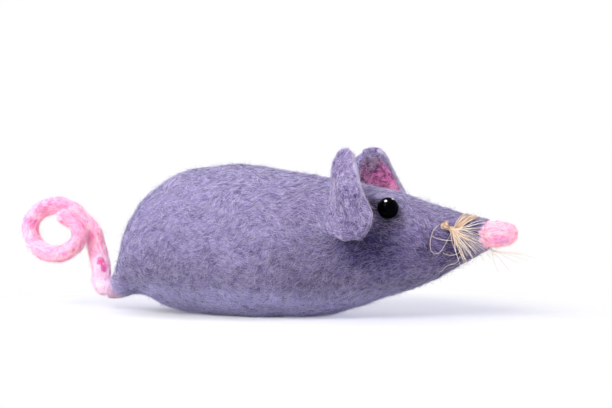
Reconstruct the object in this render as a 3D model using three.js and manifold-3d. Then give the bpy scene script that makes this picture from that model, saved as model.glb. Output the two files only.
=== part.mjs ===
// A needle-felted catnip mouse: a stuffed wool body, scooped ears that fold, bead eyes, a felted nose,
// whiskers of frayed straw twine and a curled tail that swings and tips.
// Units are millimetres. +X points to the nose, +Y to the mouse's left side and +Z up.
// The origin is the middle of the flat on which the belly rests.

import * as THREE from 'three';
import { mergeVertices } from 'three/addons/utils/BufferGeometryUtils.js';
import Module from 'manifold-3d';

const wasm = await Module();
wasm.setup();

// Driving dimensions

// Clearance between neighbouring pieces
const GAP = 0.3;

// Main sizes of the body, from the end of the tail nub to the nose collar
const BODY_LENGTH = 97.6;
const BODY_HEIGHT = 36.4;
const BODY_WIDTH = 38.4;

// Share of the body's length that lies behind the origin
const REST_SHARE = 0.4426;

// Outline of the body from the tail nub to the nose collar: share of the length, heights of the belly line
// and of the back line as shares of the height, and reach of the flank as a share of the half width
const STATIONS = [
  { along: 0.000, belly: 0.082, back: 0.225, flank: 0.156 },
  { along: 0.027, belly: 0.091, back: 0.297, flank: 0.240 },
  { along: 0.066, belly: 0.126, back: 0.538, flank: 0.490 },
  { along: 0.111, belly: 0.121, back: 0.775, flank: 0.688 },
  { along: 0.192, belly: 0.041, back: 0.945, flank: 0.896 },
  { along: 0.350, belly: -0.014, back: 1.000, flank: 1.000 },
  { along: 0.494, belly: -0.014, back: 0.962, flank: 0.979 },
  { along: 0.627, belly: 0.036, back: 0.907, flank: 0.865 },
  { along: 0.750, belly: 0.148, back: 0.846, flank: 0.672 },
  { along: 0.873, belly: 0.280, back: 0.755, flank: 0.438 },
  { along: 0.955, belly: 0.393, back: 0.692, flank: 0.281 },
  { along: 1.000, belly: 0.464, back: 0.662, flank: 0.188 },
];
const BODY_RINGS = 40;
const BODY_SIDES = 28;

// Felt wall of the body and the stuffing inside it
const SKIN = 3.0;
const NUB_FELT = 6.2;
const SNOUT_FELT = 9.4;
const HOLLOW_ROUNDING = 9.0;
const HOLLOW_END_SCALE = 0.08;
const HOLLOW_RINGS = 24;
const HOLLOW_SIDES = 20;
const STUFFING_GAP = 0.5;

// Charge of dried leaf in the middle of the stuffing, and the slit through which it is filled
const CATNIP_X = -4.0;
const CATNIP_HEIGHT = 17.0;
const CATNIP_RADIUS = 7.0;
const CATNIP_LENGTH = 34.0;
const CATNIP_SIDES = 16;
const CATNIP_END_STEPS = 5;
const SLIT_LENGTH = 20.0;
const SLIT_WIDTH = 2.4;

// Ears: places on the head, given by shares of the reach behind the nose collar, the angle up from the flank
// and shares of the rise above the ear's seat
const EAR_REACH = 36.0;
const EAR_RISE = 9.4;
const EAR_THICKNESS = 2.0;
const EAR_RIM_THICKNESS = 1.3;
const EAR_SEAT_GAP = 0.4;
const EAR_SCOOP = 1.8;
const EAR_RIM_START = 0.4;
const EAR_BACK_EDGE = [
  { behind: 0.780, angle: 6, rise: 0.266 },
  { behind: 0.919, angle: 13, rise: 0.106 },
  { behind: 0.975, angle: 28, rise: 0.000 },
  { behind: 0.994, angle: 46, rise: 0.000 },
  { behind: 1.000, angle: 62, rise: 0.021 },
  { behind: 0.986, angle: 66, rise: 0.532 },
  { behind: 0.936, angle: 64, rise: 1.000 },
];
const EAR_FRONT_EDGE = [
  { behind: 0.780, angle: 6, rise: 0.266 },
  { behind: 0.708, angle: 11, rise: 0.394 },
  { behind: 0.683, angle: 25, rise: 0.447 },
  { behind: 0.769, angle: 39, rise: 0.660 },
  { behind: 0.839, angle: 53, rise: 0.872 },
  { behind: 0.886, angle: 60, rise: 0.989 },
  { behind: 0.936, angle: 64, rise: 1.000 },
];
const EAR_HINGE_LOW = { behind: 0.978, angle: 32 };
const EAR_HINGE_HIGH = { behind: 1.000, angle: 58 };
const EAR_ROWS = 18;
const EAR_COLUMNS = 10;
const EAR_END_TRIM = 0.035;

// Felted lining inside each ear, by its share of the ear's height and of its width
const LINING_THICKNESS = 0.8;
const LINING_LOW = 0.16;
const LINING_HIGH = 0.88;
const LINING_BACK = 0.34;
const LINING_FRONT = 0.86;
const LINING_ROWS = 12;
const LINING_COLUMNS = 6;

// Bead eyes on short shanks, tied to each other through the head
const EYE_BEHIND = 21.5;
const EYE_ANGLE = 42;
const EYE_RADIUS = 2.5;
const EYE_STAND = 1.1;
const SHANK_RADIUS = 0.8;
const SHANK_LENGTH = 2.4;
const THREAD_RADIUS = 0.35;
const THREAD_SIDES = 8;
const EYE_SEGMENTS = 20;

// Felted nose with a stud that is set into the snout
const NOSE_RADIUS = 3.3;
const NOSE_BASE_RADIUS = 3.0;
const NOSE_LENGTH = 7.5;
const NOSE_WIDEST = 2.7;
const STUD_RADIUS = 1.5;
const STUD_LENGTH = 5.0;
const NOSE_SIDES = 24;
const NOSE_STEPS = 8;

// Whisker twine: a flat bundle over the bridge of the snout, a knot on each side and a frayed tuft
const WHISKER_BEHIND = 5.6;
const TWINE_ARCH = 2.4;
const TWINE_END_ANGLE = 24;
const TWINE_WIDTH = 2.4;
const TWINE_THICKNESS = 1.1;
const TWINE_NARROWING = 0.35;
const TWINE_SIDES = 8;
const TWINE_STEPS = 20;
const KNOT_SETBACK = 2.2;
const KNOT_ANGLE = 22;
const KNOT_RADIUS = 1.4;
const KNOT_DEPTH = 0.62;
const KNOT_STRAND = 0.38;
const KNOT_LIFT = 0.15;
const KNOT_SIDES = 6;
const KNOT_STEPS = 48;
const TUFT_ANGLE = 8;
const TUFT_STEM_RADIUS = 0.75;
const TUFT_STEM_LENGTH = 2.0;
const TUFT_STEM_FALL = 0.7;
const TUFT_STEM_LIFT = 0.35;
const TUFT_STRANDS = 14;
const TUFT_SPREAD_LOW = 84;
const TUFT_SPREAD_HIGH = -10;
const TUFT_LENGTH_WAVES = 2.5;
const TUFT_LIFT_NEAR = 0.2;
const TUFT_LIFT_FAR = 0.42;
const STRAND_RADIUS = 0.17;
const STRAND_TIP_RADIUS = 0.06;
const STRAND_SHORT = 4.5;
const STRAND_LONG = 8.0;
const STRAND_DROOP = 0.16;
const STRAND_SIDES = 3;
const STRAND_STEPS = 6;

// Tail: a pin in the nub, an elbow up to the crease, then the stem and the curl. Its places are given by
// how far they lie behind and above the mouth of the pin's hole.
const TAIL_RADIUS = 2.45;
const TAIL_TIP_RADIUS = 1.8;
const PIN_RADIUS = 1.7;
const PIN_TILT = 20;
const PIN_DEPTH = 7.0;
const PIN_LEAD = 0.8;
const ELBOW = { behind: 2.8, above: 0.9 };
const CREASE = { behind: 3.3, above: 4.9 };
const STEM = [
  { behind: 4.2, above: 9.6 },
  { behind: 5.7, above: 14.2 },
];
const CURL_CENTRE = { behind: 15.8, above: 14.8 };
const CURL_HALF_LENGTH = 7.5;
const CURL_HALF_HEIGHT = 6.2;
const CURL_START = 30;
const CURL_END = 440;
const CURL_PITCH = 6.0;
const CURL_LEAN = 0.36;
const CURL_TUCK = 0.4;
const CURL_TUCK_START = 330;
const CURL_POINTS_A_TURN = 24;
const TAIL_END_SCALE = 0.12;
const TAIL_SIDES = 10;
const ROOT_STEPS = 18;
const CURL_STEPS = 48;
const BALL_SIDES = 16;
const BALL_STEPS = 12;

// Colours and surface of each material
const LAVENDER_FELT = { color: 0x9a91bd, roughness: 0.95, metalness: 0 };
const PINK_FELT = { color: 0xf7b6dc, roughness: 0.95, metalness: 0 };
const LINING_FELT = { color: 0xa76094, roughness: 0.95, metalness: 0 };
const CORE_WOOL = { color: 0xe8e2d6, roughness: 1, metalness: 0 };
const DRIED_LEAF = { color: 0x7c8050, roughness: 1, metalness: 0 };
const BLACK_BEAD = { color: 0x020203, roughness: 0.08, metalness: 0 };
const BLACK_THREAD = { color: 0x14131a, roughness: 0.8, metalness: 0 };
const STRAW_TWINE = { color: 0xc9a895, roughness: 0.85, metalness: 0 };

// Points closer than this are one point
const MERGE_DISTANCE = 1e-4;

// Closed meshes and solids

/** Merges a geometry's shared points and drops triangles without area. */
function closedGeometry(geometry) {
  const bare = geometry.index ? geometry.clone() : geometry;
  bare.deleteAttribute('normal');
  bare.deleteAttribute('uv');
  const merged = mergeVertices(bare, MERGE_DISTANCE);
  const index = merged.index.array;
  const kept = [];
  for (let i = 0; i < index.length; i += 3) {
    const [a, b, c] = [index[i], index[i + 1], index[i + 2]];
    if (a !== b && b !== c && c !== a) kept.push(a, b, c);
  }
  merged.setIndex(kept);
  return merged;
}

/** Turns a closed geometry into a solid for cutting and joining. */
function solidOf(geometry) {
  const closed = closedGeometry(geometry);
  return new wasm.Manifold(new wasm.Mesh({
    numProp: 3,
    vertProperties: Float32Array.from(closed.attributes.position.array),
    triVerts: Uint32Array.from(closed.index.array),
  }));
}

/** Turns a cut or joined solid back into a geometry. */
function geometryOf(solid) {
  const mesh = solid.getMesh();
  const geometry = new THREE.BufferGeometry();
  const position = new THREE.BufferAttribute(Float32Array.from(mesh.vertProperties), mesh.numProp);
  geometry.setAttribute('position', position);
  geometry.setIndex(Array.from(mesh.triVerts));
  return geometry;
}

/** Skins a row of rings, all with the same number of points, and closes both ends. */
function loft(rings) {
  const sides = rings[0].length;
  const points = rings.flat();
  const index = [];
  for (let r = 0; r + 1 < rings.length; r += 1) {
    for (let s = 0; s < sides; s += 1) {
      const a = r * sides + s;
      const b = r * sides + (s + 1) % sides;
      index.push(a, b, a + sides, b, b + sides, a + sides);
    }
  }
  const first = points.length;
  points.push(centreOf(rings[0]), centreOf(rings[rings.length - 1]));
  const lastRing = (rings.length - 1) * sides;
  for (let s = 0; s < sides; s += 1) {
    const next = (s + 1) % sides;
    index.push(first, next, s);
    index.push(first + 1, lastRing + s, lastRing + next);
  }
  const geometry = new THREE.BufferGeometry().setFromPoints(points);
  geometry.setIndex(index);
  return geometry;
}

/** Mean of a ring's points. */
function centreOf(ring) {
  const sum = ring.reduce((total, point) => total.add(point), new THREE.Vector3());
  return sum.divideScalar(ring.length);
}

/** Ring of points round a centre, turning from the first direction to the second. */
function ringAt(centre, first, second, sides) {
  const ring = [];
  for (let s = 0; s < sides; s += 1) {
    const turn = 2 * Math.PI * s / sides;
    const point = centre.clone().addScaledVector(first, Math.cos(turn));
    ring.push(point.addScaledVector(second, Math.sin(turn)));
  }
  return ring;
}

/** Round tube along a curve, with a radius for each share of its length. */
function tube(curve, radiusAt, sides, steps, closed = false) {
  const frames = curve.computeFrenetFrames(steps, closed);
  const rings = [];
  for (let i = 0; i <= steps; i += 1) {
    const radius = radiusAt(i / steps);
    const first = frames.normals[i].clone().multiplyScalar(radius);
    const second = frames.binormals[i].clone().multiplyScalar(radius);
    rings.push(ringAt(curve.getPointAt(i / steps), first, second, sides));
  }
  if (!closed) return loft(rings);
  return closedTube(rings.slice(0, steps));
}

/** Skins rings that run round a closed loop. */
function closedTube(rings) {
  const sides = rings[0].length;
  const index = [];
  for (let r = 0; r < rings.length; r += 1) {
    const here = r * sides;
    const there = ((r + 1) % rings.length) * sides;
    for (let s = 0; s < sides; s += 1) {
      const next = (s + 1) % sides;
      index.push(here + s, here + next, there + s, here + next, there + next, there + s);
    }
  }
  const geometry = new THREE.BufferGeometry().setFromPoints(rings.flat());
  geometry.setIndex(index);
  return geometry;
}

/** Reflects a geometry to the other side of the mouse, with its faces still pointing out. */
function mirrored(geometry) {
  const copy = geometry.clone().applyMatrix4(new THREE.Matrix4().makeScale(1, -1, 1));
  const index = copy.index.array;
  for (let i = 0; i < index.length; i += 3) {
    [index[i], index[i + 1]] = [index[i + 1], index[i]];
  }
  return copy;
}

/** Places a geometry built along +Y so that +Y points the given way. */
function aimed(geometry, direction, position) {
  const turn = new THREE.Quaternion().setFromUnitVectors(new THREE.Vector3(0, 1, 0), direction);
  const place = new THREE.Matrix4().compose(position, turn, new THREE.Vector3(1, 1, 1));
  return geometry.applyMatrix4(place);
}

/** Round bar between two points. */
function bar(from, to, radius, sides) {
  const along = to.clone().sub(from);
  const middle = from.clone().add(to).multiplyScalar(0.5);
  const geometry = new THREE.CylinderGeometry(radius, radius, along.length(), sides);
  return aimed(geometry, along.normalize(), middle);
}

// The felted body's surface

const stations = STATIONS.map((share) => ({
  x: BODY_LENGTH * (share.along - REST_SHARE),
  belly: BODY_HEIGHT * share.belly,
  back: BODY_HEIGHT * share.back,
  flank: BODY_WIDTH / 2 * share.flank,
}));
const sidePoints = stations.map((station) => new THREE.Vector3(station.x, station.belly, station.back));
const planPoints = stations.map((station) => new THREE.Vector3(station.x, station.flank, 0));
const sideLines = new THREE.CatmullRomCurve3(sidePoints);
const planLine = new THREE.CatmullRomCurve3(planPoints);
const rear = stations[0];
const collar = stations[stations.length - 1];
const rearHeight = (rear.belly + rear.back) / 2;
const collarHeight = (collar.belly + collar.back) / 2;

/** Section of the body at a share of the way along its stations. */
function sectionAt(share) {
  const side = sideLines.getPoint(share);
  const flank = planLine.getPoint(share).y;
  return { x: side.x, middle: (side.y + side.z) / 2, half: (side.z - side.y) / 2, flank };
}

/** Section of the body at a place along X. */
function sectionAtX(x) {
  const halvings = 40;
  let low = 0;
  let high = 1;
  for (let i = 0; i < halvings; i += 1) {
    const share = (low + high) / 2;
    if (sideLines.getPoint(share).x < x) low = share;
    else high = share;
  }
  return sectionAt((low + high) / 2);
}

/** Point on the mouse's right side of the body, at an angle in degrees up from the flank. */
function skinPoint(x, angle) {
  const section = sectionAtX(x);
  const turn = THREE.MathUtils.degToRad(angle);
  const y = -section.flank * Math.cos(turn);
  return new THREE.Vector3(section.x, y, section.middle + section.half * Math.sin(turn));
}

/** Outward direction of the body's surface at a place on its right side. */
function skinNormal(x, angle) {
  const step = 0.2;
  const along = skinPoint(x + step, angle).sub(skinPoint(x - step, angle));
  const up = skinPoint(x, angle + step).sub(skinPoint(x, angle - step));
  return along.cross(up).normalize();
}

/** Point above the body's surface, on its right side. */
function abovePoint(place, rise) {
  const normal = skinNormal(place.x, place.angle);
  return skinPoint(place.x, place.angle).addScaledVector(normal, rise);
}

/** Place on the body's right side, from its distance behind the nose collar. */
const onHead = (place) => ({ x: collar.x - place.behind, angle: place.angle });

/** Ring of a body section, drawn in by an inset. */
function sectionRing(section, inset, scale, sides) {
  const centre = new THREE.Vector3(section.x, 0, section.middle);
  const across = new THREE.Vector3(0, (section.flank - inset) * scale, 0);
  const up = new THREE.Vector3(0, 0, (section.half - inset) * scale);
  return ringAt(centre, across, up, sides);
}

/** Outer form of the whole body. */
function bodyForm() {
  const rings = [];
  for (let i = 0; i <= BODY_RINGS; i += 1) {
    rings.push(sectionRing(sectionAt(i / BODY_RINGS), 0, 1, BODY_SIDES));
  }
  return solidOf(loft(rings));
}

/** Round-ended form inside the body, an inset away from its surface. */
function innerForm(inset) {
  const back = rear.x + NUB_FELT + inset - SKIN;
  const front = collar.x - SNOUT_FELT - inset + SKIN;
  const rings = [];
  for (let i = 0; i <= HOLLOW_RINGS; i += 1) {
    const x = back + (front - back) * (1 - Math.cos(Math.PI * i / HOLLOW_RINGS)) / 2;
    const fromEnd = THREE.MathUtils.clamp(Math.min(x - back, front - x) / HOLLOW_ROUNDING, 0, 1);
    const scale = Math.max(Math.sqrt(1 - (1 - fromEnd) ** 2), HOLLOW_END_SCALE);
    rings.push(sectionRing(sectionAtX(x), inset, scale, HOLLOW_SIDES));
  }
  return solidOf(loft(rings));
}

// Tail

const pinMouth = new THREE.Vector3(rear.x, 0, rearHeight);
const pinTilt = THREE.MathUtils.degToRad(PIN_TILT);
const pinInward = new THREE.Vector3(Math.cos(pinTilt), 0, Math.sin(pinTilt));
const pinPoint = (depth) => pinMouth.clone().addScaledVector(pinInward, depth);
const behindMouth = (place) => new THREE.Vector3(rear.x - place.behind, 0, rearHeight + place.above);
const crease = behindMouth(CREASE);

/** Ball round the crease. */
function creaseBall(radius) {
  const ball = new THREE.SphereGeometry(radius, BALL_SIDES, BALL_STEPS);
  return solidOf(ball.translate(crease.x, crease.y, crease.z));
}

/** Hole for the pin, from a start outside the nub. */
function pinRoom(start) {
  return solidOf(bar(pinPoint(start), pinPoint(PIN_DEPTH + GAP), PIN_RADIUS + GAP, 2 * TAIL_SIDES));
}

/** Pin, elbow and cup that the stem of the tail tips in. */
function tailRoot() {
  const depths = [PIN_DEPTH, PIN_DEPTH / 2, PIN_RADIUS / 2, 0, -PIN_LEAD];
  const route = new THREE.CatmullRomCurve3([...depths.map(pinPoint), behindMouth(ELBOW), crease]);
  const length = route.getLength();
  const swell = (share) => {
    const past = share * length - PIN_DEPTH;
    const grown = THREE.MathUtils.smoothstep(past, PIN_LEAD, PIN_LEAD + TAIL_RADIUS);
    return THREE.MathUtils.lerp(PIN_RADIUS, TAIL_RADIUS, grown);
  };
  const limb = solidOf(tube(route, swell, TAIL_SIDES, ROOT_STEPS));
  return geometryOf(limb.subtract(creaseBall(TAIL_RADIUS + GAP)));
}

/** Route of the stem and the curl, which winds to the mouse's right and tucks its tip inside the ring. */
function curlRoute() {
  const points = [crease.clone(), ...STEM.map(behindMouth)];
  const centre = behindMouth(CURL_CENTRE);
  const step = 360 / CURL_POINTS_A_TURN;
  for (let degrees = CURL_START; degrees <= CURL_END; degrees += step) {
    const drift = CURL_PITCH * (degrees - CURL_START) / 360;
    const reach = 1 - CURL_TUCK * THREE.MathUtils.smoothstep(degrees, CURL_TUCK_START, CURL_END);
    const turn = THREE.MathUtils.degToRad(degrees);
    const x = centre.x + CURL_LEAN * drift + CURL_HALF_LENGTH * reach * Math.cos(turn);
    const z = centre.z + CURL_HALF_HEIGHT * reach * Math.sin(turn);
    points.push(new THREE.Vector3(x, -drift, z));
  }
  return new THREE.CatmullRomCurve3(points);
}

/** Radius of the stem and the curl, which taper to a rounded tip. */
function curlRadius(share, length) {
  const taper = THREE.MathUtils.lerp(TAIL_RADIUS, TAIL_TIP_RADIUS, share);
  const fromTip = Math.min((1 - share) * length / TAIL_TIP_RADIUS, 1);
  return taper * Math.max(Math.sqrt(1 - (1 - fromTip) ** 2), TAIL_END_SCALE);
}

/** Stem and curl of the tail, in one piece, with the ball that sits in the root's cup. */
function tailCurl() {
  const route = curlRoute();
  const length = route.getLength();
  const limb = solidOf(tube(route, (share) => curlRadius(share, length), TAIL_SIDES, CURL_STEPS));
  return geometryOf(limb.add(creaseBall(TAIL_RADIUS)));
}

/** Least gap between parts of the curl that are more than half a turn apart. */
function curlGap() {
  const route = curlRoute();
  const length = route.getLength();
  const count = 400;
  const points = route.getSpacedPoints(count);
  const apart = Math.round(count * Math.PI * CURL_HALF_HEIGHT / length);
  let least = Infinity;
  for (let i = 0; i <= count; i += 1) {
    for (let j = i + apart; j <= count; j += 1) {
      const radii = curlRadius(i / count, length) + curlRadius(j / count, length);
      least = Math.min(least, points[i].distanceTo(points[j]) - radii);
    }
  }
  return least;
}

// Ears

const earSeat = EAR_THICKNESS / 2 + EAR_SEAT_GAP;
const onEar = (place) => onHead({ behind: EAR_REACH * place.behind, angle: place.angle });
const edgePoint = (place) => abovePoint(onEar(place), earSeat + EAR_RISE * place.rise);
const edgeCurve = (edge) => new THREE.CatmullRomCurve3(edge.map(edgePoint));
const earBack = edgeCurve(EAR_BACK_EDGE);
const earFront = edgeCurve(EAR_FRONT_EDGE);

/** Point in the middle of the right ear's thickness, by share of its height and of its width. */
function earPoint(high, wide) {
  const back = earBack.getPoint(high);
  const front = earFront.getPoint(high);
  const step = 0.02;
  const rising = earBack.getPoint(high + step).add(earFront.getPoint(high + step));
  rising.sub(earBack.getPoint(high - step)).sub(earFront.getPoint(high - step));
  const outward = front.clone().sub(back).cross(rising).normalize();
  const scoop = EAR_SCOOP * 4 * wide * (1 - wide) * Math.sin(Math.PI * high);
  return back.lerp(front, wide).addScaledVector(outward, scoop);
}

/** Outward direction of the right ear. */
function earNormal(high, wide) {
  const step = 0.01;
  const up = earPoint(high + step, wide).sub(earPoint(high - step, wide));
  const across = earPoint(high, wide + step).sub(earPoint(high, wide - step));
  return across.cross(up).normalize();
}

/** Half of the ear's thickness, thinner towards its rim. */
function earHalf(high, wide) {
  const edge = Math.max(Math.abs(2 * high - 1), 2 * wide - 1);
  const thinning = THREE.MathUtils.smoothstep(edge, EAR_RIM_START, 1);
  return THREE.MathUtils.lerp(EAR_THICKNESS, EAR_RIM_THICKNESS, thinning) / 2;
}

/** Curved sheet over part of the right ear, between two offsets that are given for each point. */
function earSheet(range, rows, columns, outerAt, innerAt) {
  const rings = [];
  for (let r = 0; r <= rows; r += 1) {
    const share = (1 - Math.cos(Math.PI * r / rows)) / 2;
    const high = THREE.MathUtils.lerp(range.low, range.high, share);
    const outer = [];
    const inner = [];
    for (let c = 0; c <= columns; c += 1) {
      const wide = THREE.MathUtils.lerp(range.back, range.front, c / columns);
      const normal = earNormal(high, wide);
      outer.push(earPoint(high, wide).addScaledVector(normal, outerAt(high, wide)));
      inner.unshift(earPoint(high, wide).addScaledVector(normal, innerAt(high, wide)));
    }
    rings.push([...outer, ...inner]);
  }
  return loft(rings);
}

/** Right ear. */
function ear() {
  const range = { low: EAR_END_TRIM, high: 1 - EAR_END_TRIM, back: 0, front: 1 };
  return earSheet(range, EAR_ROWS, EAR_COLUMNS, earHalf, (high, wide) => -earHalf(high, wide));
}

/** Lining of the right ear, on the side that faces the head. */
function earLining() {
  const range = { low: LINING_LOW, high: LINING_HIGH, back: LINING_BACK, front: LINING_FRONT };
  const near = (high, wide) => -earHalf(high, wide) - GAP;
  const far = (high, wide) => near(high, wide) - LINING_THICKNESS;
  return earSheet(range, LINING_ROWS, LINING_COLUMNS, near, far);
}

// Eyes

const eyePlace = onHead({ behind: EYE_BEHIND, angle: EYE_ANGLE });
const eyeOut = skinNormal(eyePlace.x, eyePlace.angle);
const eyeCentre = abovePoint(eyePlace, EYE_STAND);
const shankEnd = eyeCentre.clone().addScaledVector(eyeOut, -EYE_RADIUS - SHANK_LENGTH);
const acrossMouse = (point) => new THREE.Vector3(point.x, -point.y, point.z);

/** Bead with its shank, grown all over by a clearance. */
function eyeBead(clearance) {
  const radius = EYE_RADIUS + clearance;
  const shank = SHANK_RADIUS + clearance;
  const start = Math.asin(shank / radius);
  const profile = [new THREE.Vector2(0, -EYE_RADIUS - SHANK_LENGTH - clearance)];
  profile.push(new THREE.Vector2(shank, -EYE_RADIUS - SHANK_LENGTH - clearance));
  const arcs = EYE_SEGMENTS / 2;
  for (let i = 0; i < arcs; i += 1) {
    const turn = start + (Math.PI - start) * i / arcs;
    profile.push(new THREE.Vector2(radius * Math.sin(turn), -radius * Math.cos(turn)));
  }
  profile.push(new THREE.Vector2(0, radius));
  return aimed(new THREE.LatheGeometry(profile, EYE_SEGMENTS), eyeOut, eyeCentre.clone());
}

/** Thread that ties the two shanks to each other, or the channel that it runs in. */
function eyeThread(radius, stop) {
  const from = shankEnd.clone().add(new THREE.Vector3(0, stop, 0));
  return bar(from, acrossMouse(from), radius, THREAD_SIDES);
}

// Nose

/** Felted nose and the stud behind it. */
function noseKnob() {
  const profile = [
    new THREE.Vector2(0, -STUD_LENGTH),
    new THREE.Vector2(STUD_RADIUS, -STUD_LENGTH),
    new THREE.Vector2(STUD_RADIUS, GAP),
    new THREE.Vector2(NOSE_BASE_RADIUS, GAP),
  ];
  for (let i = 0; i < NOSE_STEPS; i += 1) {
    const turn = Math.PI / 2 * i / NOSE_STEPS;
    const y = NOSE_WIDEST + (NOSE_LENGTH - NOSE_WIDEST) * Math.sin(turn);
    profile.push(new THREE.Vector2(NOSE_RADIUS * Math.cos(turn), y));
  }
  profile.push(new THREE.Vector2(0, NOSE_LENGTH));
  const base = new THREE.Vector3(collar.x, 0, collarHeight);
  return aimed(new THREE.LatheGeometry(profile, NOSE_SIDES), new THREE.Vector3(1, 0, 0), base);
}

/** Hole in the snout for the stud. */
function studHole() {
  const from = new THREE.Vector3(collar.x - STUD_LENGTH - GAP, 0, collarHeight);
  const to = new THREE.Vector3(collar.x + NOSE_LENGTH, 0, collarHeight);
  return bar(from, to, STUD_RADIUS + GAP, NOSE_SIDES);
}

// Whiskers

/** Flat bundle of twine over the bridge of the snout, from one side to the other. */
function whiskerTwine() {
  const rise = TWINE_THICKNESS / 2 + GAP;
  const step = 0.01;
  const centreAt = (share) => {
    const angle = THREE.MathUtils.lerp(TWINE_END_ANGLE, 180 - TWINE_END_ANGLE, share);
    const climb = Math.sin(Math.PI * share);
    const place = onHead({ behind: WHISKER_BEHIND - TWINE_ARCH * climb, angle });
    return { point: abovePoint(place, rise), normal: skinNormal(place.x, place.angle) };
  };
  const rings = [];
  for (let i = 0; i <= TWINE_STEPS; i += 1) {
    const share = i / TWINE_STEPS;
    const here = centreAt(share);
    const ahead = centreAt(share + step).point.sub(centreAt(share - step).point);
    const width = TWINE_WIDTH * (1 - TWINE_NARROWING * Math.abs(2 * share - 1) ** 3);
    const across = ahead.cross(here.normal).setLength(width / 2);
    const through = here.normal.clone().setLength(TWINE_THICKNESS / 2);
    rings.push(ringAt(here.point, through, across, TWINE_SIDES));
  }
  return loft(rings);
}

/** Directions on the snout's right side: out, forward and down. */
function snoutAxes(place) {
  const out = skinNormal(place.x, place.angle);
  const forward = new THREE.Vector3(1, 0, 0).addScaledVector(out, -out.x).normalize();
  return { out, forward, down: forward.clone().cross(out) };
}

/** Overhand knot on the right side of the snout. */
function whiskerKnot() {
  const place = onHead({ behind: WHISKER_BEHIND + KNOT_SETBACK, angle: KNOT_ANGLE });
  const { out, forward, down } = snoutAxes(place);
  const centre = abovePoint(place, KNOT_DEPTH + KNOT_STRAND + GAP + KNOT_LIFT);
  const points = [];
  for (let i = 0; i < KNOT_STEPS; i += 1) {
    const turn = 2 * Math.PI * i / KNOT_STEPS;
    const a = (Math.sin(turn) + 2 * Math.sin(2 * turn)) / 3;
    const b = (Math.cos(turn) - 2 * Math.cos(2 * turn)) / 3;
    points.push(centre.clone()
      .addScaledVector(forward, KNOT_RADIUS * a)
      .addScaledVector(down, KNOT_RADIUS * b)
      .addScaledVector(out, -KNOT_DEPTH * Math.sin(3 * turn)));
  }
  const route = new THREE.CatmullRomCurve3(points, true);
  return tube(route, () => KNOT_STRAND, KNOT_SIDES, KNOT_STEPS, true);
}

/** Strand of frayed twine from a root, through the end of the stem, along a direction. */
function whiskerStrand(root, end, way, length) {
  const middle = end.clone().addScaledVector(way, length / 2);
  const tip = end.clone().addScaledVector(way, length);
  tip.z -= STRAND_DROOP * length;
  const route = new THREE.QuadraticBezierCurve3(root, middle, tip);
  const radius = (share) => THREE.MathUtils.lerp(STRAND_RADIUS, STRAND_TIP_RADIUS, share);
  return solidOf(tube(route, radius, STRAND_SIDES, STRAND_STEPS));
}

/** Frayed tuft on the right side of the snout: a stem of twine and its fan of strands. */
function whiskerTuft() {
  const place = onHead({ behind: WHISKER_BEHIND, angle: TUFT_ANGLE });
  const { out, forward, down } = snoutAxes(place);
  const start = abovePoint(place, TUFT_STEM_RADIUS + GAP);
  const lean = forward.clone().addScaledVector(down, TUFT_STEM_FALL).addScaledVector(out, TUFT_STEM_LIFT);
  lean.normalize();
  const end = start.clone().addScaledVector(lean, TUFT_STEM_LENGTH);
  const root = end.clone().addScaledVector(lean, -TUFT_STEM_RADIUS);
  let tuft = solidOf(bar(start, end, TUFT_STEM_RADIUS, TWINE_SIDES));
  for (let i = 0; i < TUFT_STRANDS; i += 1) {
    const share = i / (TUFT_STRANDS - 1);
    const fan = THREE.MathUtils.degToRad(THREE.MathUtils.lerp(TUFT_SPREAD_HIGH, TUFT_SPREAD_LOW, share));
    const lift = i % 2 ? TUFT_LIFT_NEAR : TUFT_LIFT_FAR;
    const way = forward.clone().multiplyScalar(Math.cos(fan)).addScaledVector(down, Math.sin(fan));
    way.addScaledVector(out, lift).normalize();
    const wave = Math.abs(2 * ((share * TUFT_LENGTH_WAVES) % 1) - 1);
    tuft = tuft.add(whiskerStrand(root, end, way, THREE.MathUtils.lerp(STRAND_LONG, STRAND_SHORT, wave)));
  }
  return geometryOf(tuft);
}

// Body, stuffing and charge

/** Capsule of dried leaf, or the pocket for it, grown by a clearance. */
function catnipCapsule(clearance) {
  const radius = CATNIP_RADIUS + clearance;
  const straight = CATNIP_LENGTH - 2 * CATNIP_RADIUS;
  const capsule = new THREE.CapsuleGeometry(radius, straight, CATNIP_END_STEPS, CATNIP_SIDES);
  return aimed(capsule, new THREE.Vector3(1, 0, 0), new THREE.Vector3(CATNIP_X, 0, CATNIP_HEIGHT));
}

/** Room for both beads, their shanks and the thread between them. */
function eyeRoom() {
  const bead = closedGeometry(eyeBead(GAP));
  const thread = solidOf(eyeThread(THREAD_RADIUS + GAP, 0));
  return solidOf(bead).add(solidOf(mirrored(bead))).add(thread);
}

/** Stuffing with the pocket, its slit, and room for the tail pin, the shanks and the thread. */
function coreWool() {
  const slit = new THREE.BoxGeometry(SLIT_LENGTH, SLIT_WIDTH, CATNIP_HEIGHT);
  slit.translate(CATNIP_X, 0, CATNIP_HEIGHT / 2);
  return geometryOf(innerForm(SKIN + STUFFING_GAP)
    .subtract(solidOf(catnipCapsule(GAP)))
    .subtract(solidOf(slit))
    .subtract(pinRoom(0))
    .subtract(eyeRoom()));
}

/** Felted skin with its belly flat, its hollow and the seats of what is set into it. */
function bodySkin() {
  const length = 2 * (collar.x - rear.x);
  const ground = new THREE.BoxGeometry(length, length, length).translate(0, 0, -length / 2);
  return geometryOf(bodyForm()
    .subtract(innerForm(SKIN))
    .subtract(solidOf(ground))
    .subtract(pinRoom(-PIN_DEPTH))
    .subtract(solidOf(studHole()))
    .subtract(eyeRoom()));
}

// Scene graph

const mouse = new THREE.Group();
mouse.name = 'catnip_mouse';

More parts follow.
